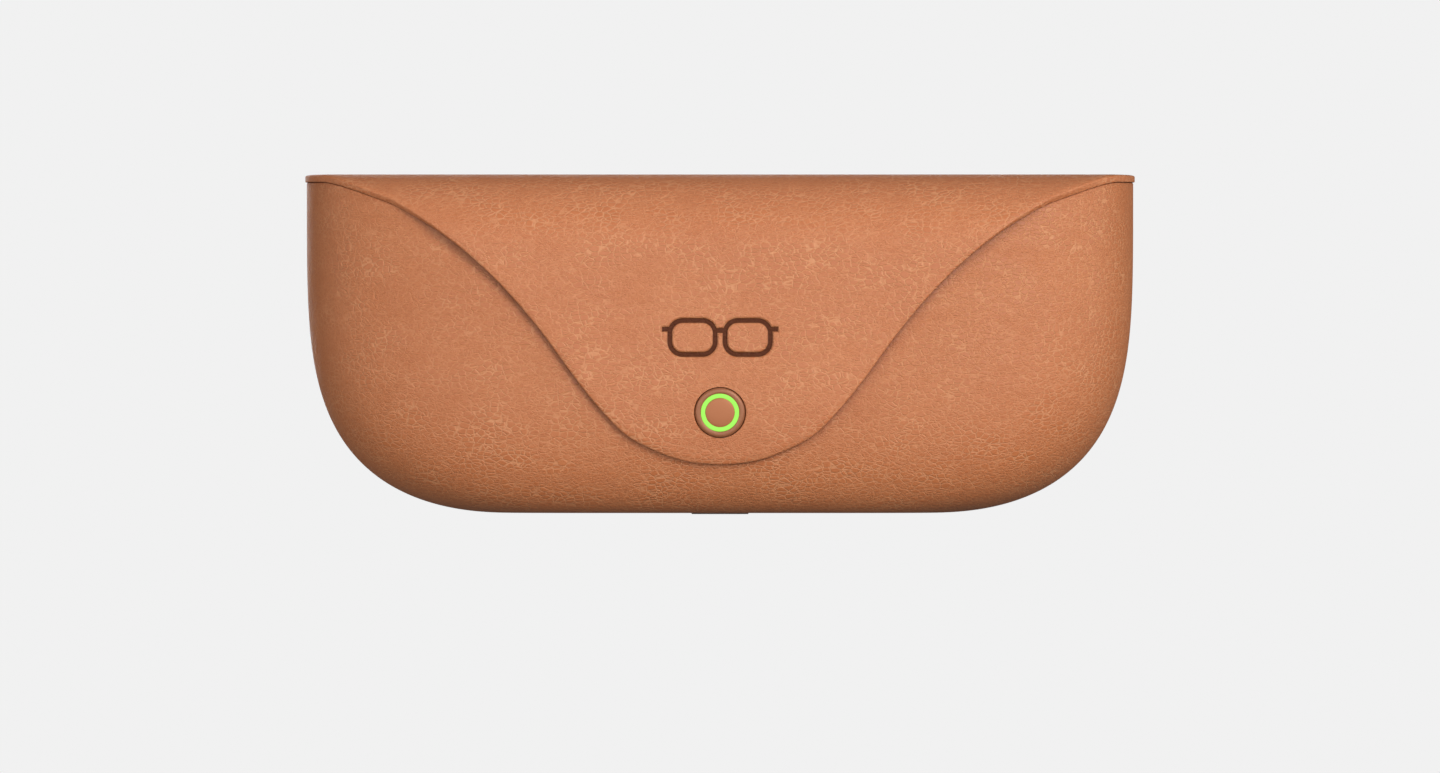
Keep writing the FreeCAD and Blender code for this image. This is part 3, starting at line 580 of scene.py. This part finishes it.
# ------------------------------------------------------------------------------------------ the case's form
@dataclass(frozen=True)
class Swell:
    """How one side of the case swells from a flat base to its full reach.

    With s = (shoulder - z) / (shoulder - base), the reach at height z is
    flat + (full - flat) * (1 - s ** p) ** (1 / q).
    """

    shoulder: float
    flat: float
    full: float
    p: float
    q: float

    def reach(self, z: Number, grow: Number, base: float) -> Array:
        """Reach of this side at height z, its surface moved outwards by grow.

        Args:
            z: heights.
            grow: how far out the surface is moved.
            base: height of the case's flat base.

        Returns:
            The reach at each height.
        """
        share = np.clip((self.shoulder - np.asarray(z, float)) / (self.shoulder - base + grow), 0.0, 1.0)
        return self.flat + (self.full - self.flat + grow) * (1 - share ** self.p) ** (1 / self.q)


@dataclass(frozen=True)
class CaseForm:
    """The outside form that the wrap, the flap and the stud share, in millimetres."""

    height: float = 66.2
    base: float = 0.25
    gap: float = 0.25
    flap_thick: float = 1.25
    roll: float = 15.25
    mid_radius: float = 14.6
    front_rim: float = 51.6
    overhang: float = 0.3
    tongue_half: float = 61.0
    flap_back: float = 24.8
    hinge_half: float = 55.0
    hinge_y: float = 20.0
    stud_z: float = 20.0
    width: Swell = Swell(64.2, 40.6, 80.7, 4.13, 2.275)
    front: Swell = Swell(40.0, 9.5, 24.5, 3.2, 2.2)
    back: Swell = Swell(30.0, 11.0, 26.0, 3.0, 2.2)
    front_powers: tuple[float, float] = (5.5, 2.0)
    corner_power: float = 2.3
    back_flat: float = 0.69
    edge: tuple[tuple[float, float], ...] = (
        (0, 9.75), (6.25, 10.3), (12.1, 12.2), (18.4, 15.6), (23.05, 20.3), (27.7, 26.0),
        (34.8, 35.7), (41.8, 43.9), (48.8, 50.55), (55.9, 55.85), (62.0, 59.6))

    @property
    def flap_out(self) -> float:
        """How far the flap's outer face stands off the body."""
        return self.gap + self.flap_thick

    @property
    def rim(self) -> float:
        """Height of the body's rim at the back and the ends."""
        return self.height - self.flap_out

    @property
    def roll_y(self) -> float:
        """Where along Y the flap's bend is centred."""
        return self.roll - self.front.full - self.flap_out

    @property
    def roll_z(self) -> float:
        """Height at which the flap's bend is centred."""
        return self.height - self.roll

    def unit_plan(self, count: int) -> tuple[Array, Array, Array]:
        """Evenly spaced points round the plan, free of the case's size.

        The front is |x| ** p + |y| ** q = 1, each back corner is a superellipse and the back is flat. A point
        at height z is (width * X, front * F + back * B, z).

        Args:
            count: number of points.

        Returns:
            The factors X, F and B.
        """
        t = np.linspace(0, np.pi, 60001)
        c, s = np.cos(t), np.sin(t)
        px, py = self.front_powers
        front = np.stack([-np.sign(c) * np.abs(c) ** (2 / px), -np.abs(s) ** (2 / py), 0 * t], 1)
        t = np.linspace(0, np.pi / 2, 20001)
        x = self.back_flat + (1 - self.back_flat) * np.abs(np.cos(t)) ** (2 / self.corner_power)
        right = np.stack([x, 0 * t, np.abs(np.sin(t)) ** (2 / self.corner_power)], 1)
        flat = np.linspace(self.back_flat, -self.back_flat, 2001)
        back = np.stack([flat, 0 * flat, 0 * flat + 1], 1)
        loop = np.concatenate([front, right[1:], back[1:], (right * (-1, 1, 1))[::-1][1:]])
        size = np.stack([loop[:, 0] * self.width.full,
                         loop[:, 1] * self.front.full + loop[:, 2] * self.back.full], 1)
        length = np.concatenate([[0], np.cumsum(np.linalg.norm(np.diff(size, axis=0), axis=1))])
        at = np.arange(count) / count * length[-1]
        return tuple(np.interp(at, length, loop[:, k]) for k in range(3))

    def wall(self, plan: tuple[Array, Array, Array], z: Array, grow: Number = 0.0) -> Array:
        """Points of the body's wall.

        Args:
            plan: the plan's factors from unit_plan.
            z: height of each point.
            grow: how far out the surface is moved.

        Returns:
            The points, three numbers each.
        """
        x, f, b = plan
        return np.stack([x * self.width.reach(z, grow, self.base),
                         f * self.front.reach(z, grow, self.base) + b * self.back.reach(z, grow, self.base),
                         z + 0 * x], -1)

    def mouth(self, y: Array) -> Array:
        """Height of the body's rim: level at the back, then down the inside of the flap's bend.

        Args:
            y: places from front to back.

        Returns:
            The rim's height at each place.
        """
        radius = self.roll - self.flap_out
        fall = np.sqrt(np.clip(radius ** 2 - np.clip(self.roll_y - y, 0, None) ** 2, 0, None))
        return np.maximum(np.where(y >= self.roll_y, self.rim, self.roll_z + fall), self.front_rim)

    def front_plan(self, t: Array, a: float, f: float) -> tuple[Array, Array]:
        """Points of the plan's front at parameter t, from the left end at 0 to the right end at pi.

        Args:
            t: parameters of the points.
            a: the plan's reach to each side.
            f: its reach to the front.

        Returns:
            The points' x and y.
        """
        c, s = np.cos(t), np.sin(t)
        px, py = self.front_powers
        return -np.sign(c) * np.abs(c) ** (2 / px) * a, -f * np.abs(s) ** (2 / py)

    def flap_point(self, x: Array, u: Array, depth: Number) -> Array:
        """Points of the flap's sheet.

        u runs along the side view from 0 at the foot of the bend: below it down the front, above it round
        the bend by the mid radius, then straight back over the top. depth is measured inwards from the outer
        face.

        Args:
            x: places along the case.
            u: places along the side view.
            depth: distance under the outer face.

        Returns:
            The points, three numbers each.
        """
        bend = self.mid_radius * np.pi / 2
        t = np.clip(u, 0, bend) / self.mid_radius
        low = self.roll_z + np.minimum(u, 0)
        radius = self.roll - depth
        y_front = depth - self.flap_out - self.front.reach(low, 0.0, self.base)
        y_bend = self.roll_y - radius * np.cos(t) + np.maximum(u - bend, 0)
        z_bend = self.roll_z + radius * np.sin(t)
        down = u <= 0
        return np.stack([x + 0 * u, np.where(down, y_front, y_bend), np.where(down, low, z_bend)], -1)

    def edge_height(self, x: Array) -> Array:
        """Height of the flap's free edge: a cubic through its knots that keeps their slopes.

        The slope is level at the middle, and at each other knot it is that of the chord past it.

        Args:
            x: places along the case.

        Returns:
            The edge's height at each place.
        """
        knots = np.array(self.edge)
        chords = np.concatenate([knots[2:] - knots[:-2], knots[-1:] - knots[-2:-1]])
        slope = np.concatenate([[0.0], chords[:, 1] / chords[:, 0]])
        x = np.abs(x)
        k = np.clip(np.searchsorted(knots[:, 0], x, side="right") - 1, 0, len(knots) - 2)
        h = knots[k + 1, 0] - knots[k, 0]
        t = (x - knots[k, 0]) / h
        return ((2 * t ** 3 - 3 * t ** 2 + 1) * knots[k, 1] + (t ** 3 - 2 * t ** 2 + t) * h * slope[k]
                + (3 * t ** 2 - 2 * t ** 3) * knots[k + 1, 1] + (t ** 3 - t ** 2) * h * slope[k + 1])

    def flap_edges(self) -> tuple[Array, Array]:
        """The flap's front and back edges for the right half, as (x, u) points in order of x.

        The front edge follows the tongue, then the line in which the flap's inner face meets the wall. The
        back edge follows the plan's back corner, then runs straight along the back.

        Returns:
            The front edge and the back edge.
        """
        radius, bend = self.roll - self.flap_thick, self.mid_radius * np.pi / 2
        x = np.linspace(0, self.tongue_half, 240)
        rise = self.edge_height(x) - self.roll_z
        bent = self.mid_radius * np.arcsin(np.clip(rise / radius, 0, 1))
        tongue = np.stack([x, np.where(rise < 0, rise, bent)], 1)
        a = self.width.full + self.overhang
        first = np.pi - np.arcsin(np.sqrt(1 - ((self.tongue_half + 3.5) / a) ** self.front_powers[0]))
        cx, cy = self.front_plan(np.linspace(first, np.pi, 400), a, self.front.full)
        over = self.mid_radius * np.arccos(np.clip((self.roll_y - cy) / radius, -1, 1))
        corner = np.stack([cx, np.where(cy < self.roll_y, over, bend + cy - self.roll_y)], 1)
        fore = np.concatenate([tongue, corner])
        t = np.linspace(0, np.pi / 2, 400)
        flat = self.back_flat * a
        bx = flat + (a - flat) * np.abs(np.cos(t)) ** (2 / self.corner_power)
        by = np.minimum(self.back.full * np.abs(np.sin(t)) ** (2 / self.corner_power), self.flap_back)
        rear = np.stack([np.concatenate([bx, [0]]), np.concatenate([by, [self.flap_back]])], 1)[::-1]
        rear[:, 1] += bend - self.roll_y
        return fore, rear

    def stud_frame(self) -> Matrix:
        """The frame of the stud on the front of the body: its Y axis is square to the body's wall.

        Returns:
            The frame, its origin on the wall.
        """
        z = self.stud_z
        rise = float(self.front.reach(z + 0.5, 0, self.base) - self.front.reach(z - 0.5, 0, self.base))
        place = Vector((0, -float(self.front.reach(z, 0, self.base)), z))
        return Matrix.Translation(place) @ Matrix.Rotation(math.atan(rise), 4, "X")


FORM = CaseForm()


# ------------------------------------------------------------------------------------------ leather wrap
@dataclass
class BodyWrap:
    """The leather that wraps the body, turned over its rim and open at the charging port."""

    form: CaseForm = FORM
    columns: int = 640
    wall_rows: int = 88
    inner_rows: int = 22
    leather: float = 0.8
    rim_round: float = 0.3
    port_half: tuple[float, float] = (5.55, 2.8)

    def wall_heights(self, top: Array, base: float, count: int) -> Array:
        """Heights of the wall's rows from its top to its base, crowding towards the base as its curve does.

        Args:
            top: height of the wall's top at each column.
            base: height of its foot.
            count: spans between them.

        Returns:
            Heights, count + 1 rows by columns.
        """
        reference, power = self.form.rim + 0.05, self.form.width.p / 2
        last = np.arccos(np.clip((reference - top) / (reference - base), 0, 1) ** power)
        share = np.linspace(1, 0, count + 1)[:, None]
        return reference - (reference - base) * np.cos(last * share) ** (1 / power)

    def surface(self) -> Array:
        """Carry the leather's closed section round the plan.

        The section goes up the inside, over the rounded rim, down the wall, level across the base to the
        port's edge, up through the leather and back inside to where it began.

        Returns:
            A grid of points, rows by columns, whose last row joins the first.
        """
        form, r = self.form, self.rim_round
        plan = form.unit_plan(self.columns)
        arc = [(r * (1 - math.cos(a)), r * (1 - math.sin(a))) for a in np.linspace(math.pi / 2, 0, 7)]
        section = [(self.leather, 1.6), (self.leather, 0.3), (0.76, 0.1), (0.66, 0.02)] + arc
        upright = np.full(self.columns, 60.0)  # a height above every shoulder, where the wall is upright
        rows = []
        for inset, drop in section:
            y = form.wall(plan, upright, -inset)[:, 1]
            rows.append(form.wall(plan, form.mouth(y) - drop, -inset))
        rows += [form.wall(plan, z) for z in self.wall_heights(rows[-1][:, 2], form.base, self.wall_rows)[1:]]
        foot, edge = rows[-1], self.port_edge(rows[-1])
        rows += [foot * (1 - share) + edge * share for share in np.linspace(0, 1, 9)[1:]]
        inner = self.wall_heights(rows[0][:, 2], form.base + self.leather, self.inner_rows)[:0:-1]
        inner_foot = form.wall(plan, inner[0], -self.leather)
        raised = edge + (0, 0, self.leather)
        rows += [raised * (1 - share) + inner_foot * share for share in (0.0, 0.3, 0.6, 0.85)]
        rows += [form.wall(plan, z, -self.leather) for z in inner]
        return np.array(rows)

    def port_edge(self, foot: Array) -> Array:
        """Points on the port's slot-shaped edge, each in the same direction from the middle as its foot.

        Args:
            foot: points round the foot of the wall.

        Returns:
            A point of the port's edge for each.
        """
        hx, hy = self.port_half
        way = foot[:, :2] / np.linalg.norm(foot[:, :2], axis=1)[:, None]
        cx, cy = np.abs(way[:, 0]), np.abs(way[:, 1])
        flat = hx - hy
        side = hy / np.maximum(cy, 1e-9)
        end = flat * cx + np.sqrt(np.clip(hy ** 2 - (flat * cy) ** 2, 0, None))
        reach = np.where(side * cx <= flat, side, end)
        return np.column_stack([way * reach[:, None], np.full(len(foot), self.form.base)])

    def build(self) -> bpy.types.Object:
        """Make the wrap and dress it in leather.

        Returns:
            The wrap.
        """
        grid = self.surface()
        closed = np.concatenate([grid, grid[:1]])
        wrap = make_object("body_wrap", closed, [grid_faces(*closed.shape[:2], wrap=True)])
        wrap.data.materials.append(LEATHER_BODY.material())
        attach(wrap, "case_body")
        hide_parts("body_leather")
        LOG.info("%s: %d faces", wrap.name, len(wrap.data.polygons))
        return wrap


# ------------------------------------------------------------------------------------------ flap
@dataclass
class Flap:
    """The flap: outer leather turned over its edge, and a suede lining set in from that edge."""

    form: CaseForm = FORM
    columns: int = 420
    rows: int = 150
    inner_rows: int = 36
    skive: tuple[float, float] = (1.4, 0.12)
    edge_round: tuple[float, float] = (0.42, 0.36)
    painted_spans: int = 7
    bead: float = 0.2
    turned: float = 3.0
    lining_proud: float = 0.12
    eyelet: float = 5.0
    eyelet_back: float = 6.15
    lining_eyelet: float = 8.6

    def outline(self, inset: float) -> tuple[Array, Array]:
        """The flap's front and back edges, moved in by inset, with points at the same x in both.

        Args:
            inset: how far in the edges are moved.

        Returns:
            The front edge and the back edge, (x, u) points from the left end to the right end.
        """
        front, rear = self.form.flap_edges()
        half = np.concatenate([front, rear[::-1]])
        loop = np.concatenate([(half * (-1, 1))[::-1], half[1:]])
        step = np.roll(loop, -1, 0) - np.roll(loop, 1, 0)
        normal = np.stack([-step[:, 1], step[:, 0]], 1) / np.linalg.norm(step, axis=1)[:, None]
        loop = loop + normal * inset
        tip = len(half) - 1
        right = loop[tip:]
        end = int(np.argmax(right[:, 0]))
        a = right[end, 0]
        even = np.linspace(-1, 1, self.columns + 1)
        x = a * (0.35 * even + 0.65 * np.sin(even * np.pi / 2))  # columns crowd towards the ends
        low = self.over_x(right[:end + 1], np.abs(x))
        high = self.over_x(right[end:][::-1], np.abs(x))
        high[[0, -1]] = low[[0, -1]]
        return np.stack([x, low], 1), np.stack([x, high], 1)

    @staticmethod
    def over_x(curve: Array, x: Array) -> Array:
        """Read a curve's u at each x, after keeping only the points that advance in x.

        Args:
            curve: (x, u) points in order.
            x: places at which to read it.

        Returns:
            The curve's u at each place.
        """
        keep = np.concatenate([[True], np.diff(np.maximum.accumulate(curve[:, 0])) > 1e-6])
        return np.interp(x, curve[keep, 0], curve[keep, 1])

    def sheet(self, section: list[tuple[float, float]], rows: tuple[int, int]) -> tuple[Array, list]:
        """Make a closed sheet from its edge's section.

        The section is (inset, depth) points from the outer face round the edge to the inner face. Each is a
        ring of the outline moved in by that inset, and the two faces run straight from front to back edge.

        Args:
            section: the edge's section.
            rows: spans from front to back in the outer and inner face.

        Returns:
            The points and the faces.
        """
        rings = []
        for inset, depth in section:
            low, high = self.outline(inset)
            loop = np.concatenate([low, high[::-1][1:-1]])
            rings.append(self.form.flap_point(loop[:, 0], loop[:, 1], depth))
        count = len(rings[0])
        points, faces = [np.concatenate(rings)], [grid_faces(len(rings), count, wrap=True)]
        start = len(points[0])
        for (inset, depth), spans, flip in ((section[0], rows[0], False), (section[-1], rows[1], True)):
            low, high = self.outline(inset)
            t = np.linspace(0, 1, spans + 1)[:, None]
            u = low[:, 1] * (1 - t) + high[:, 1] * t
            grid = self.form.flap_point(np.broadcast_to(low[:, 0], u.shape), u, depth)
            quads = grid_faces(*grid.shape[:2], start=start)
            faces.append(quads[:, ::-1] if flip else quads)
            points.append(grid.reshape(-1, 3))
            start += len(points[-1])
        return np.concatenate(points), faces

    def punch(self, sheet: bpy.types.Object, profile: list[tuple[float, float]]) -> None:
        """Cut the stud's hole with a turned cutter, and apply the cut.

        Args:
            sheet: the piece to cut.
            profile: the cutter's (radius, y) points in the stud's frame.
        """
        cutter = turned("eyelet_cutter", profile, self.form.stud_frame(), 96)
        cut = sheet.modifiers.new("eyelet", "BOOLEAN")
        cut.operation, cut.solver, cut.object = "DIFFERENCE", "EXACT", cutter
        graph = bpy.context.evaluated_depsgraph_get()
        mesh = bpy.data.meshes.new_from_object(sheet.evaluated_get(graph))
        sheet.modifiers.clear()
        sheet.data = mesh
        bpy.data.objects.remove(cutter)

    def build(self) -> list[bpy.types.Object]:
        """Make the leather and the lining, cut the eyelet and dress both.

        The section of the leather's edge thins a little, rounds over, runs down the painted edge to a bead
        that stands below the underside, and turns in under the flap. The edge paint is near-black and also
        covers the last spans of the outer rounding, so it is partly the edge's own paint and partly painted
        shade of the gap under the flap's edge; its bead closes most of that gap.

        Returns:
            The leather and the lining.
        """
        (width, fall), (across, deep), thick = self.skive, self.edge_round, self.form.flap_thick
        thinned = [(width - t * (width - across), fall * t ** 2) for t in np.linspace(0, 1, 9)[:-1]]
        arc = [(across * (1 - math.sin(a)), fall + deep * (1 - math.cos(a)))
               for a in np.linspace(0.25, math.pi / 2, 7)]
        low = thick + self.bead
        painted = [(0.0, thick - 0.2), (0.0, low - 0.12), (0.05, low - 0.03), (0.16, low), (0.4, low),
                   (0.6, low - 0.05), (0.8, thick)]
        section = [(width + 0.6, 0.0)] + thinned + arc + painted + [(self.turned + 1.0, thick)]
        points, faces = self.sheet(section, (self.rows, self.inner_rows))
        shades = np.zeros(sum(len(block) for block in faces), int)
        # The painted faces start on the outer rounding and run down the edge: edge paint that also draws the
        # dark shaded line along the flap's edge.
        first = 1 + len(thinned) + len(arc) - self.painted_spans
        last = first + self.painted_spans + len(painted)
        round_the_edge = len(faces[0]) // (len(section) - 1)
        shades[first * round_the_edge:last * round_the_edge] = 1
        leather = make_object("flap_outer_leather", points, faces, shades=shades)
        face = -self.form.flap_out
        self.punch(leather, [(0, face - 1), (5.6, face - 1), (5.28, face - 0.02), (5.14, face + 0.04),
                             (5.03, face + 0.16), (self.eyelet, face + 0.4), (self.eyelet, face + 0.55),
                             (self.eyelet_back, face + thick + 0.2), (0, face + thick + 0.2)])
        top = thick + self.lining_proud
        section = [(self.turned + 0.6, thick - 0.2), (self.turned, thick - 0.15), (self.turned, thick + 0.04),
                   (self.turned + 0.1, top), (self.turned + 0.5, top)]
        lining = make_object("flap_suede", *self.sheet(section, (self.inner_rows, 90)))
        wide = self.lining_eyelet
        self.punch(lining, [(0, face), (wide, face), (wide, face + top + 0.3), (0, face + top + 0.3)])
        for piece, finishes, node, slot in (
                (leather, (LEATHER_FLAP, EDGE_PAINT_AND_GAP_SHADE), "flap_leather", "tan_leather"),
                (lining, (SUEDE,), "flap_lining", "pocket_suede")):
            piece.data.materials.clear()
            for finish in finishes:
                piece.data.materials.append(finish.material())
            piece.data.set_sharp_from_angle(angle=math.radians(40))
            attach(piece, "flap")
            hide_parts(node)
            LOG.info("%s: %d faces", piece.name, len(piece.data.polygons))
        return [leather, lining]


# ------------------------------------------------------------------------------------------ turned pieces
def turned(name: str, profile: list[tuple[float, float]], frame: Matrix,
           steps: int = 128) -> bpy.types.Object:
    """Turn a closed (radius, y) profile round the Y axis of a frame.

    A point at angle t is (radius * cos t, y, radius * sin t), then moved into the frame.

    Args:
        name: the piece's name.
        profile: the profile's points, in millimetres.
        frame: where the axis stands.
        steps: spans round the axis.

    Returns:
        The turned object.
    """
    section = np.array(profile, float)
    t = np.arange(steps) / steps * 2 * np.pi
    grid = np.stack([section[:, :1] * np.cos(t), np.repeat(section[:, 1:], steps, 1),
                     section[:, :1] * np.sin(t)], -1)
    matrix = np.array(frame)
    grid = grid @ matrix[:3, :3].T + matrix[:3, 3]
    if section[0, 0] < 1e-9 and section[-1, 0] < 1e-9:
        faces = grid_faces(len(section), steps, wrap=True)
        return make_object(name, grid, [faces])
    ring = np.concatenate([grid, grid[:1]])
    return make_object(name, ring, [grid_faces(len(section) + 1, steps, wrap=True)])


@dataclass
class Stud:
    """The closure stud on the body, seen through the flap's hole: bezel, lit ring and cap."""

    form: CaseForm = FORM
    radius: float = 4.88
    bezel_in: float = 3.74
    light: tuple[float, float] = (2.88, 3.7)
    cap: float = 2.84

    def build(self) -> list[bpy.types.Object]:
        """Turn the three pieces and dress them.

        Returns:
            The bezel, the light and the cap.
        """
        frame, face = self.form.stud_frame(), -self.form.flap_out
        crown = [(self.bezel_in, face), (self.bezel_in + 0.06, face - 0.05),
                 (self.bezel_in + 0.3, face - 0.08)]
        crown += [(self.radius - 0.62 * (1 - math.sin(a)), face + 0.4 - 0.48 * math.cos(a))
                  for a in np.linspace(0, math.pi / 2, 9)]
        bezel = [(self.bezel_in, 0.35)] + crown + [(self.radius, 0.35)]
        ring = rounded([(self.light[0], 0.35), (self.light[0], face + 0.06), (self.light[1], face + 0.06),
                        (self.light[1], 0.35)], 0.1)
        dome = [(self.cap * math.sin(a), face + 0.12 - 0.24 * math.cos(a)) for a in np.linspace(1.5, 0, 13)]
        cap = [(0, 0.35), (self.cap, 0.35), (self.cap, face + 0.16)] + dome
        pieces = []
        for name, profile, finish, node, slot in (
                ("stud_rim", bezel, TAN_METAL, "stud_bezel", "tan_anodised"),
                ("stud_light", ring, LIGHT_GUIDE, "light_ring", "light_guide"),
                ("stud_centre", cap, TAN_CAP, "stud_cap", "tan_anodised")):
            piece = turned(name, profile, frame)
            piece.data.materials.append(finish.material())
            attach(piece, "case_body")
            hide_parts(node)
            pieces.append(piece)
            LOG.info("%s: %d faces", name, len(piece.data.polygons))
        return pieces


# ------------------------------------------------------------------------------------------ hinge
@dataclass
class HingeStrip:
    """The leather strip that joins the flap to the back, bending where the flap folds."""

    form: CaseForm = FORM
    low: float = 58.0
    proud: float = 0.4
    thick: float = 0.8
    radius: float = 2.3
    columns: int = 180
    end_round: float = 0.35

    def section(self) -> tuple[Array, int]:
        """The strip's closed side view: along the top, round the back edge, down the back and home again.

        Returns:
            The (y, z) points, and how many of them are on the outer side.
        """
        form = self.form
        back, top = form.back.full + self.proud, form.height
        cy, cz = back - self.radius, top - self.radius
        inner = self.radius - self.thick
        outer = [(y, top) for y in np.linspace(form.hinge_y, cy, 14)]
        outer += [(cy + self.radius * math.sin(a), cz + self.radius * math.cos(a))
                  for a in np.linspace(0, math.pi / 2, 20)[1:]]
        outer += [(back, z) for z in np.linspace(cz, self.low + 0.35, 14)[1:]]
        foot = [(back - 0.1, self.low + 0.1), (back - 0.35, self.low), (back - self.thick, self.low)]
        home = [(back - self.thick, z) for z in np.linspace(self.low + 0.4, cz, 13)]
        home += [(cy + inner * math.sin(a), cz + inner * math.cos(a))
                 for a in np.linspace(math.pi / 2, 0, 12)[1:]]
        home += [(y, top - self.thick) for y in np.linspace(cy, form.hinge_y, 10)[1:]]
        return np.array(outer + foot + home), len(outer)

    def build(self) -> bpy.types.Object:
        """Carry the side view along X and round its two ends a little.

        Near each end the outer side sinks towards the middle of the bend along a quarter circle.

        Returns:
            The strip.
        """
        side, outer = self.section()
        half, r = self.form.hinge_half, self.end_round
        x = np.concatenate([[-half, -half + 0.03, -half + 0.12],
                            np.linspace(-half + r, half - r, self.columns),
                            [half - 0.12, half - 0.03, half]])
        shrink = r - np.sqrt(np.clip(r ** 2 - np.clip(r - (half - np.abs(x)), 0, None) ** 2, 0, None))
        middle = np.array([self.form.back.full + self.proud - self.radius, self.form.height - self.radius])
        away = side - middle
        pull = away / np.maximum(np.linalg.norm(away, axis=1), 1e-9)[:, None]
        pull[outer:] = 0.0
        grid = side[None] - shrink[:, None, None] * pull[None]
        points = np.concatenate([np.broadcast_to(x[:, None, None], grid.shape[:2] + (1,)), grid], -1)
        count = len(side)
        caps = [[list(range(count))[::-1]], [list(range((len(x) - 1) * count, len(x) * count))]]
        strip = make_object("hinge_leather", points, [grid_faces(len(x), count, wrap=True)] + caps)
        strip.data.materials.append(LEATHER_BODY.material())
        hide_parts("hinge_strip")
        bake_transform(strip)
        LOG.info("%s: %d faces", strip.name, len(strip.data.polygons))
        return strip


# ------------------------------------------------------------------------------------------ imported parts
@dataclass
class PackedParts:
    """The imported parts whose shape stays: each gets its slot's finish."""

    frame: dict

    def dress(self) -> None:
        """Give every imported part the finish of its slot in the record."""
        slots = {entry["node"]: entry["material_slot"] for entry in self.frame["record"]["subparts"]}
        for node, obj in self.frame["nodes"].items():
            finish = SlotFinish[slots[node]].value
            material = finish.material()
            if not obj.material_slots:
                obj.data.materials.append(material)
            for slot in obj.material_slots:
                slot.material = material
            LOG.info("%s: %s", node, material.name)


# ------------------------------------------------------------------------------------------ studio
@dataclass
class Studio:
    """Even pale air all round, soft panels and a long lens, level with the case."""

    pale: str = "#F2F2F2"
    seen_strength: float = 0.99
    faint_strength: float = 0.13
    aim_z: float = 33.0
    eye_z: float = 24.9
    distance: float = 3600.0
    field_width: float = 281.25
    panels: list[tuple[str, tuple[float, float, float], tuple[float, float], float]] = field(
        default_factory=lambda: [
            ("key_panel", (640.0, -1060.0, 470.0), (480.0, 480.0), 9.7),
            ("fill_panel", (-900.0, -900.0, 100.0), (700.0, 700.0), 2.3),
            ("left_end_panel", (-1000.0, -140.0, 120.0), (300.0, 400.0), 1.15),
            ("right_end_panel", (1000.0, -220.0, 120.0), (300.0, 400.0), 2.6),
            ("floor_panel", (0.0, -520.0, 3.0), (900.0, 300.0), 1.9),
            ("top_panel", (0.0, -60.0, 1200.0), (900.0, 500.0), 2.2),
            ("back_panel", (-250.0, 1100.0, 260.0), (700.0, 500.0), 4.5)])

    def air(self) -> None:
        """Fill the space behind the case with an even pale shade that gives only a little light."""
        world = bpy.context.scene.world or bpy.data.worlds.new("studio_air")
        bpy.context.scene.world = world
        world.use_nodes = True
        tree = world.node_tree
        tree.nodes.clear()
        seen = add_node(tree, "ShaderNodeBackground", {
            "Color": linear(self.pale), "Strength": self.seen_strength})
        faint = add_node(tree, "ShaderNodeBackground", {
            "Color": linear(self.pale), "Strength": self.faint_strength})
        path = add_node(tree, "ShaderNodeLightPath", {})
        mixed = add_node(tree, "ShaderNodeMixShader", {}, {
            0: path.outputs["Is Camera Ray"], 1: faint.outputs[0], 2: seen.outputs[0]})
        add_node(tree, "ShaderNodeOutputWorld", {}, {"Surface": mixed.outputs[0]})

    def lights(self) -> None:
        """Hang the soft panels, each aimed at the middle of the case."""
        aim = Vector((0, 0, self.aim_z))
        for name, place, size, power in self.panels:
            lamp = bpy.data.lights.new(name, "AREA")
            lamp.shape, lamp.size, lamp.size_y = "RECTANGLE", size[0] * MM, size[1] * MM
            lamp.energy = power
            obj = bpy.data.objects.new(name, lamp)
            bpy.context.collection.objects.link(obj)
            obj.location = Vector(place) * MM
            obj.rotation_euler = (aim - Vector(place)).to_track_quat("-Z", "Y").to_euler()
            obj.visible_camera = False

    def camera(self) -> None:
        """Stand the camera in front of the case, level, on a long lens."""
        lens = bpy.data.cameras.new("long_lens")
        lens.sensor_width = 36.0
        lens.lens = 36.0 * self.distance / self.field_width
        lens.clip_end = 20.0
        eye = bpy.data.objects.new("long_lens", lens)
        bpy.context.collection.objects.link(eye)
        eye.location = Vector((0.0, -self.distance, self.eye_z)) * MM
        eye.rotation_euler = (math.pi / 2, 0, 0)
        bpy.context.scene.camera = eye

    def build(self) -> None:
        """Set up the air, the lights, the camera and plain colour handling."""
        self.air()
        self.lights()
        self.camera()
        bpy.context.scene.view_settings.view_transform = "Standard"
        bpy.context.scene.view_settings.look = "None"


def main() -> None:
    """Build the case piece by piece and report each one."""
    logging.basicConfig(level=logging.INFO, format="%(name)s: %(message)s")
    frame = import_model()
    PackedParts(frame).dress()
    BodyWrap().build()
    Flap().build()
    Stud().build()
    HingeStrip().build()
    Studio().build()


if __name__ == "__main__":
    main()
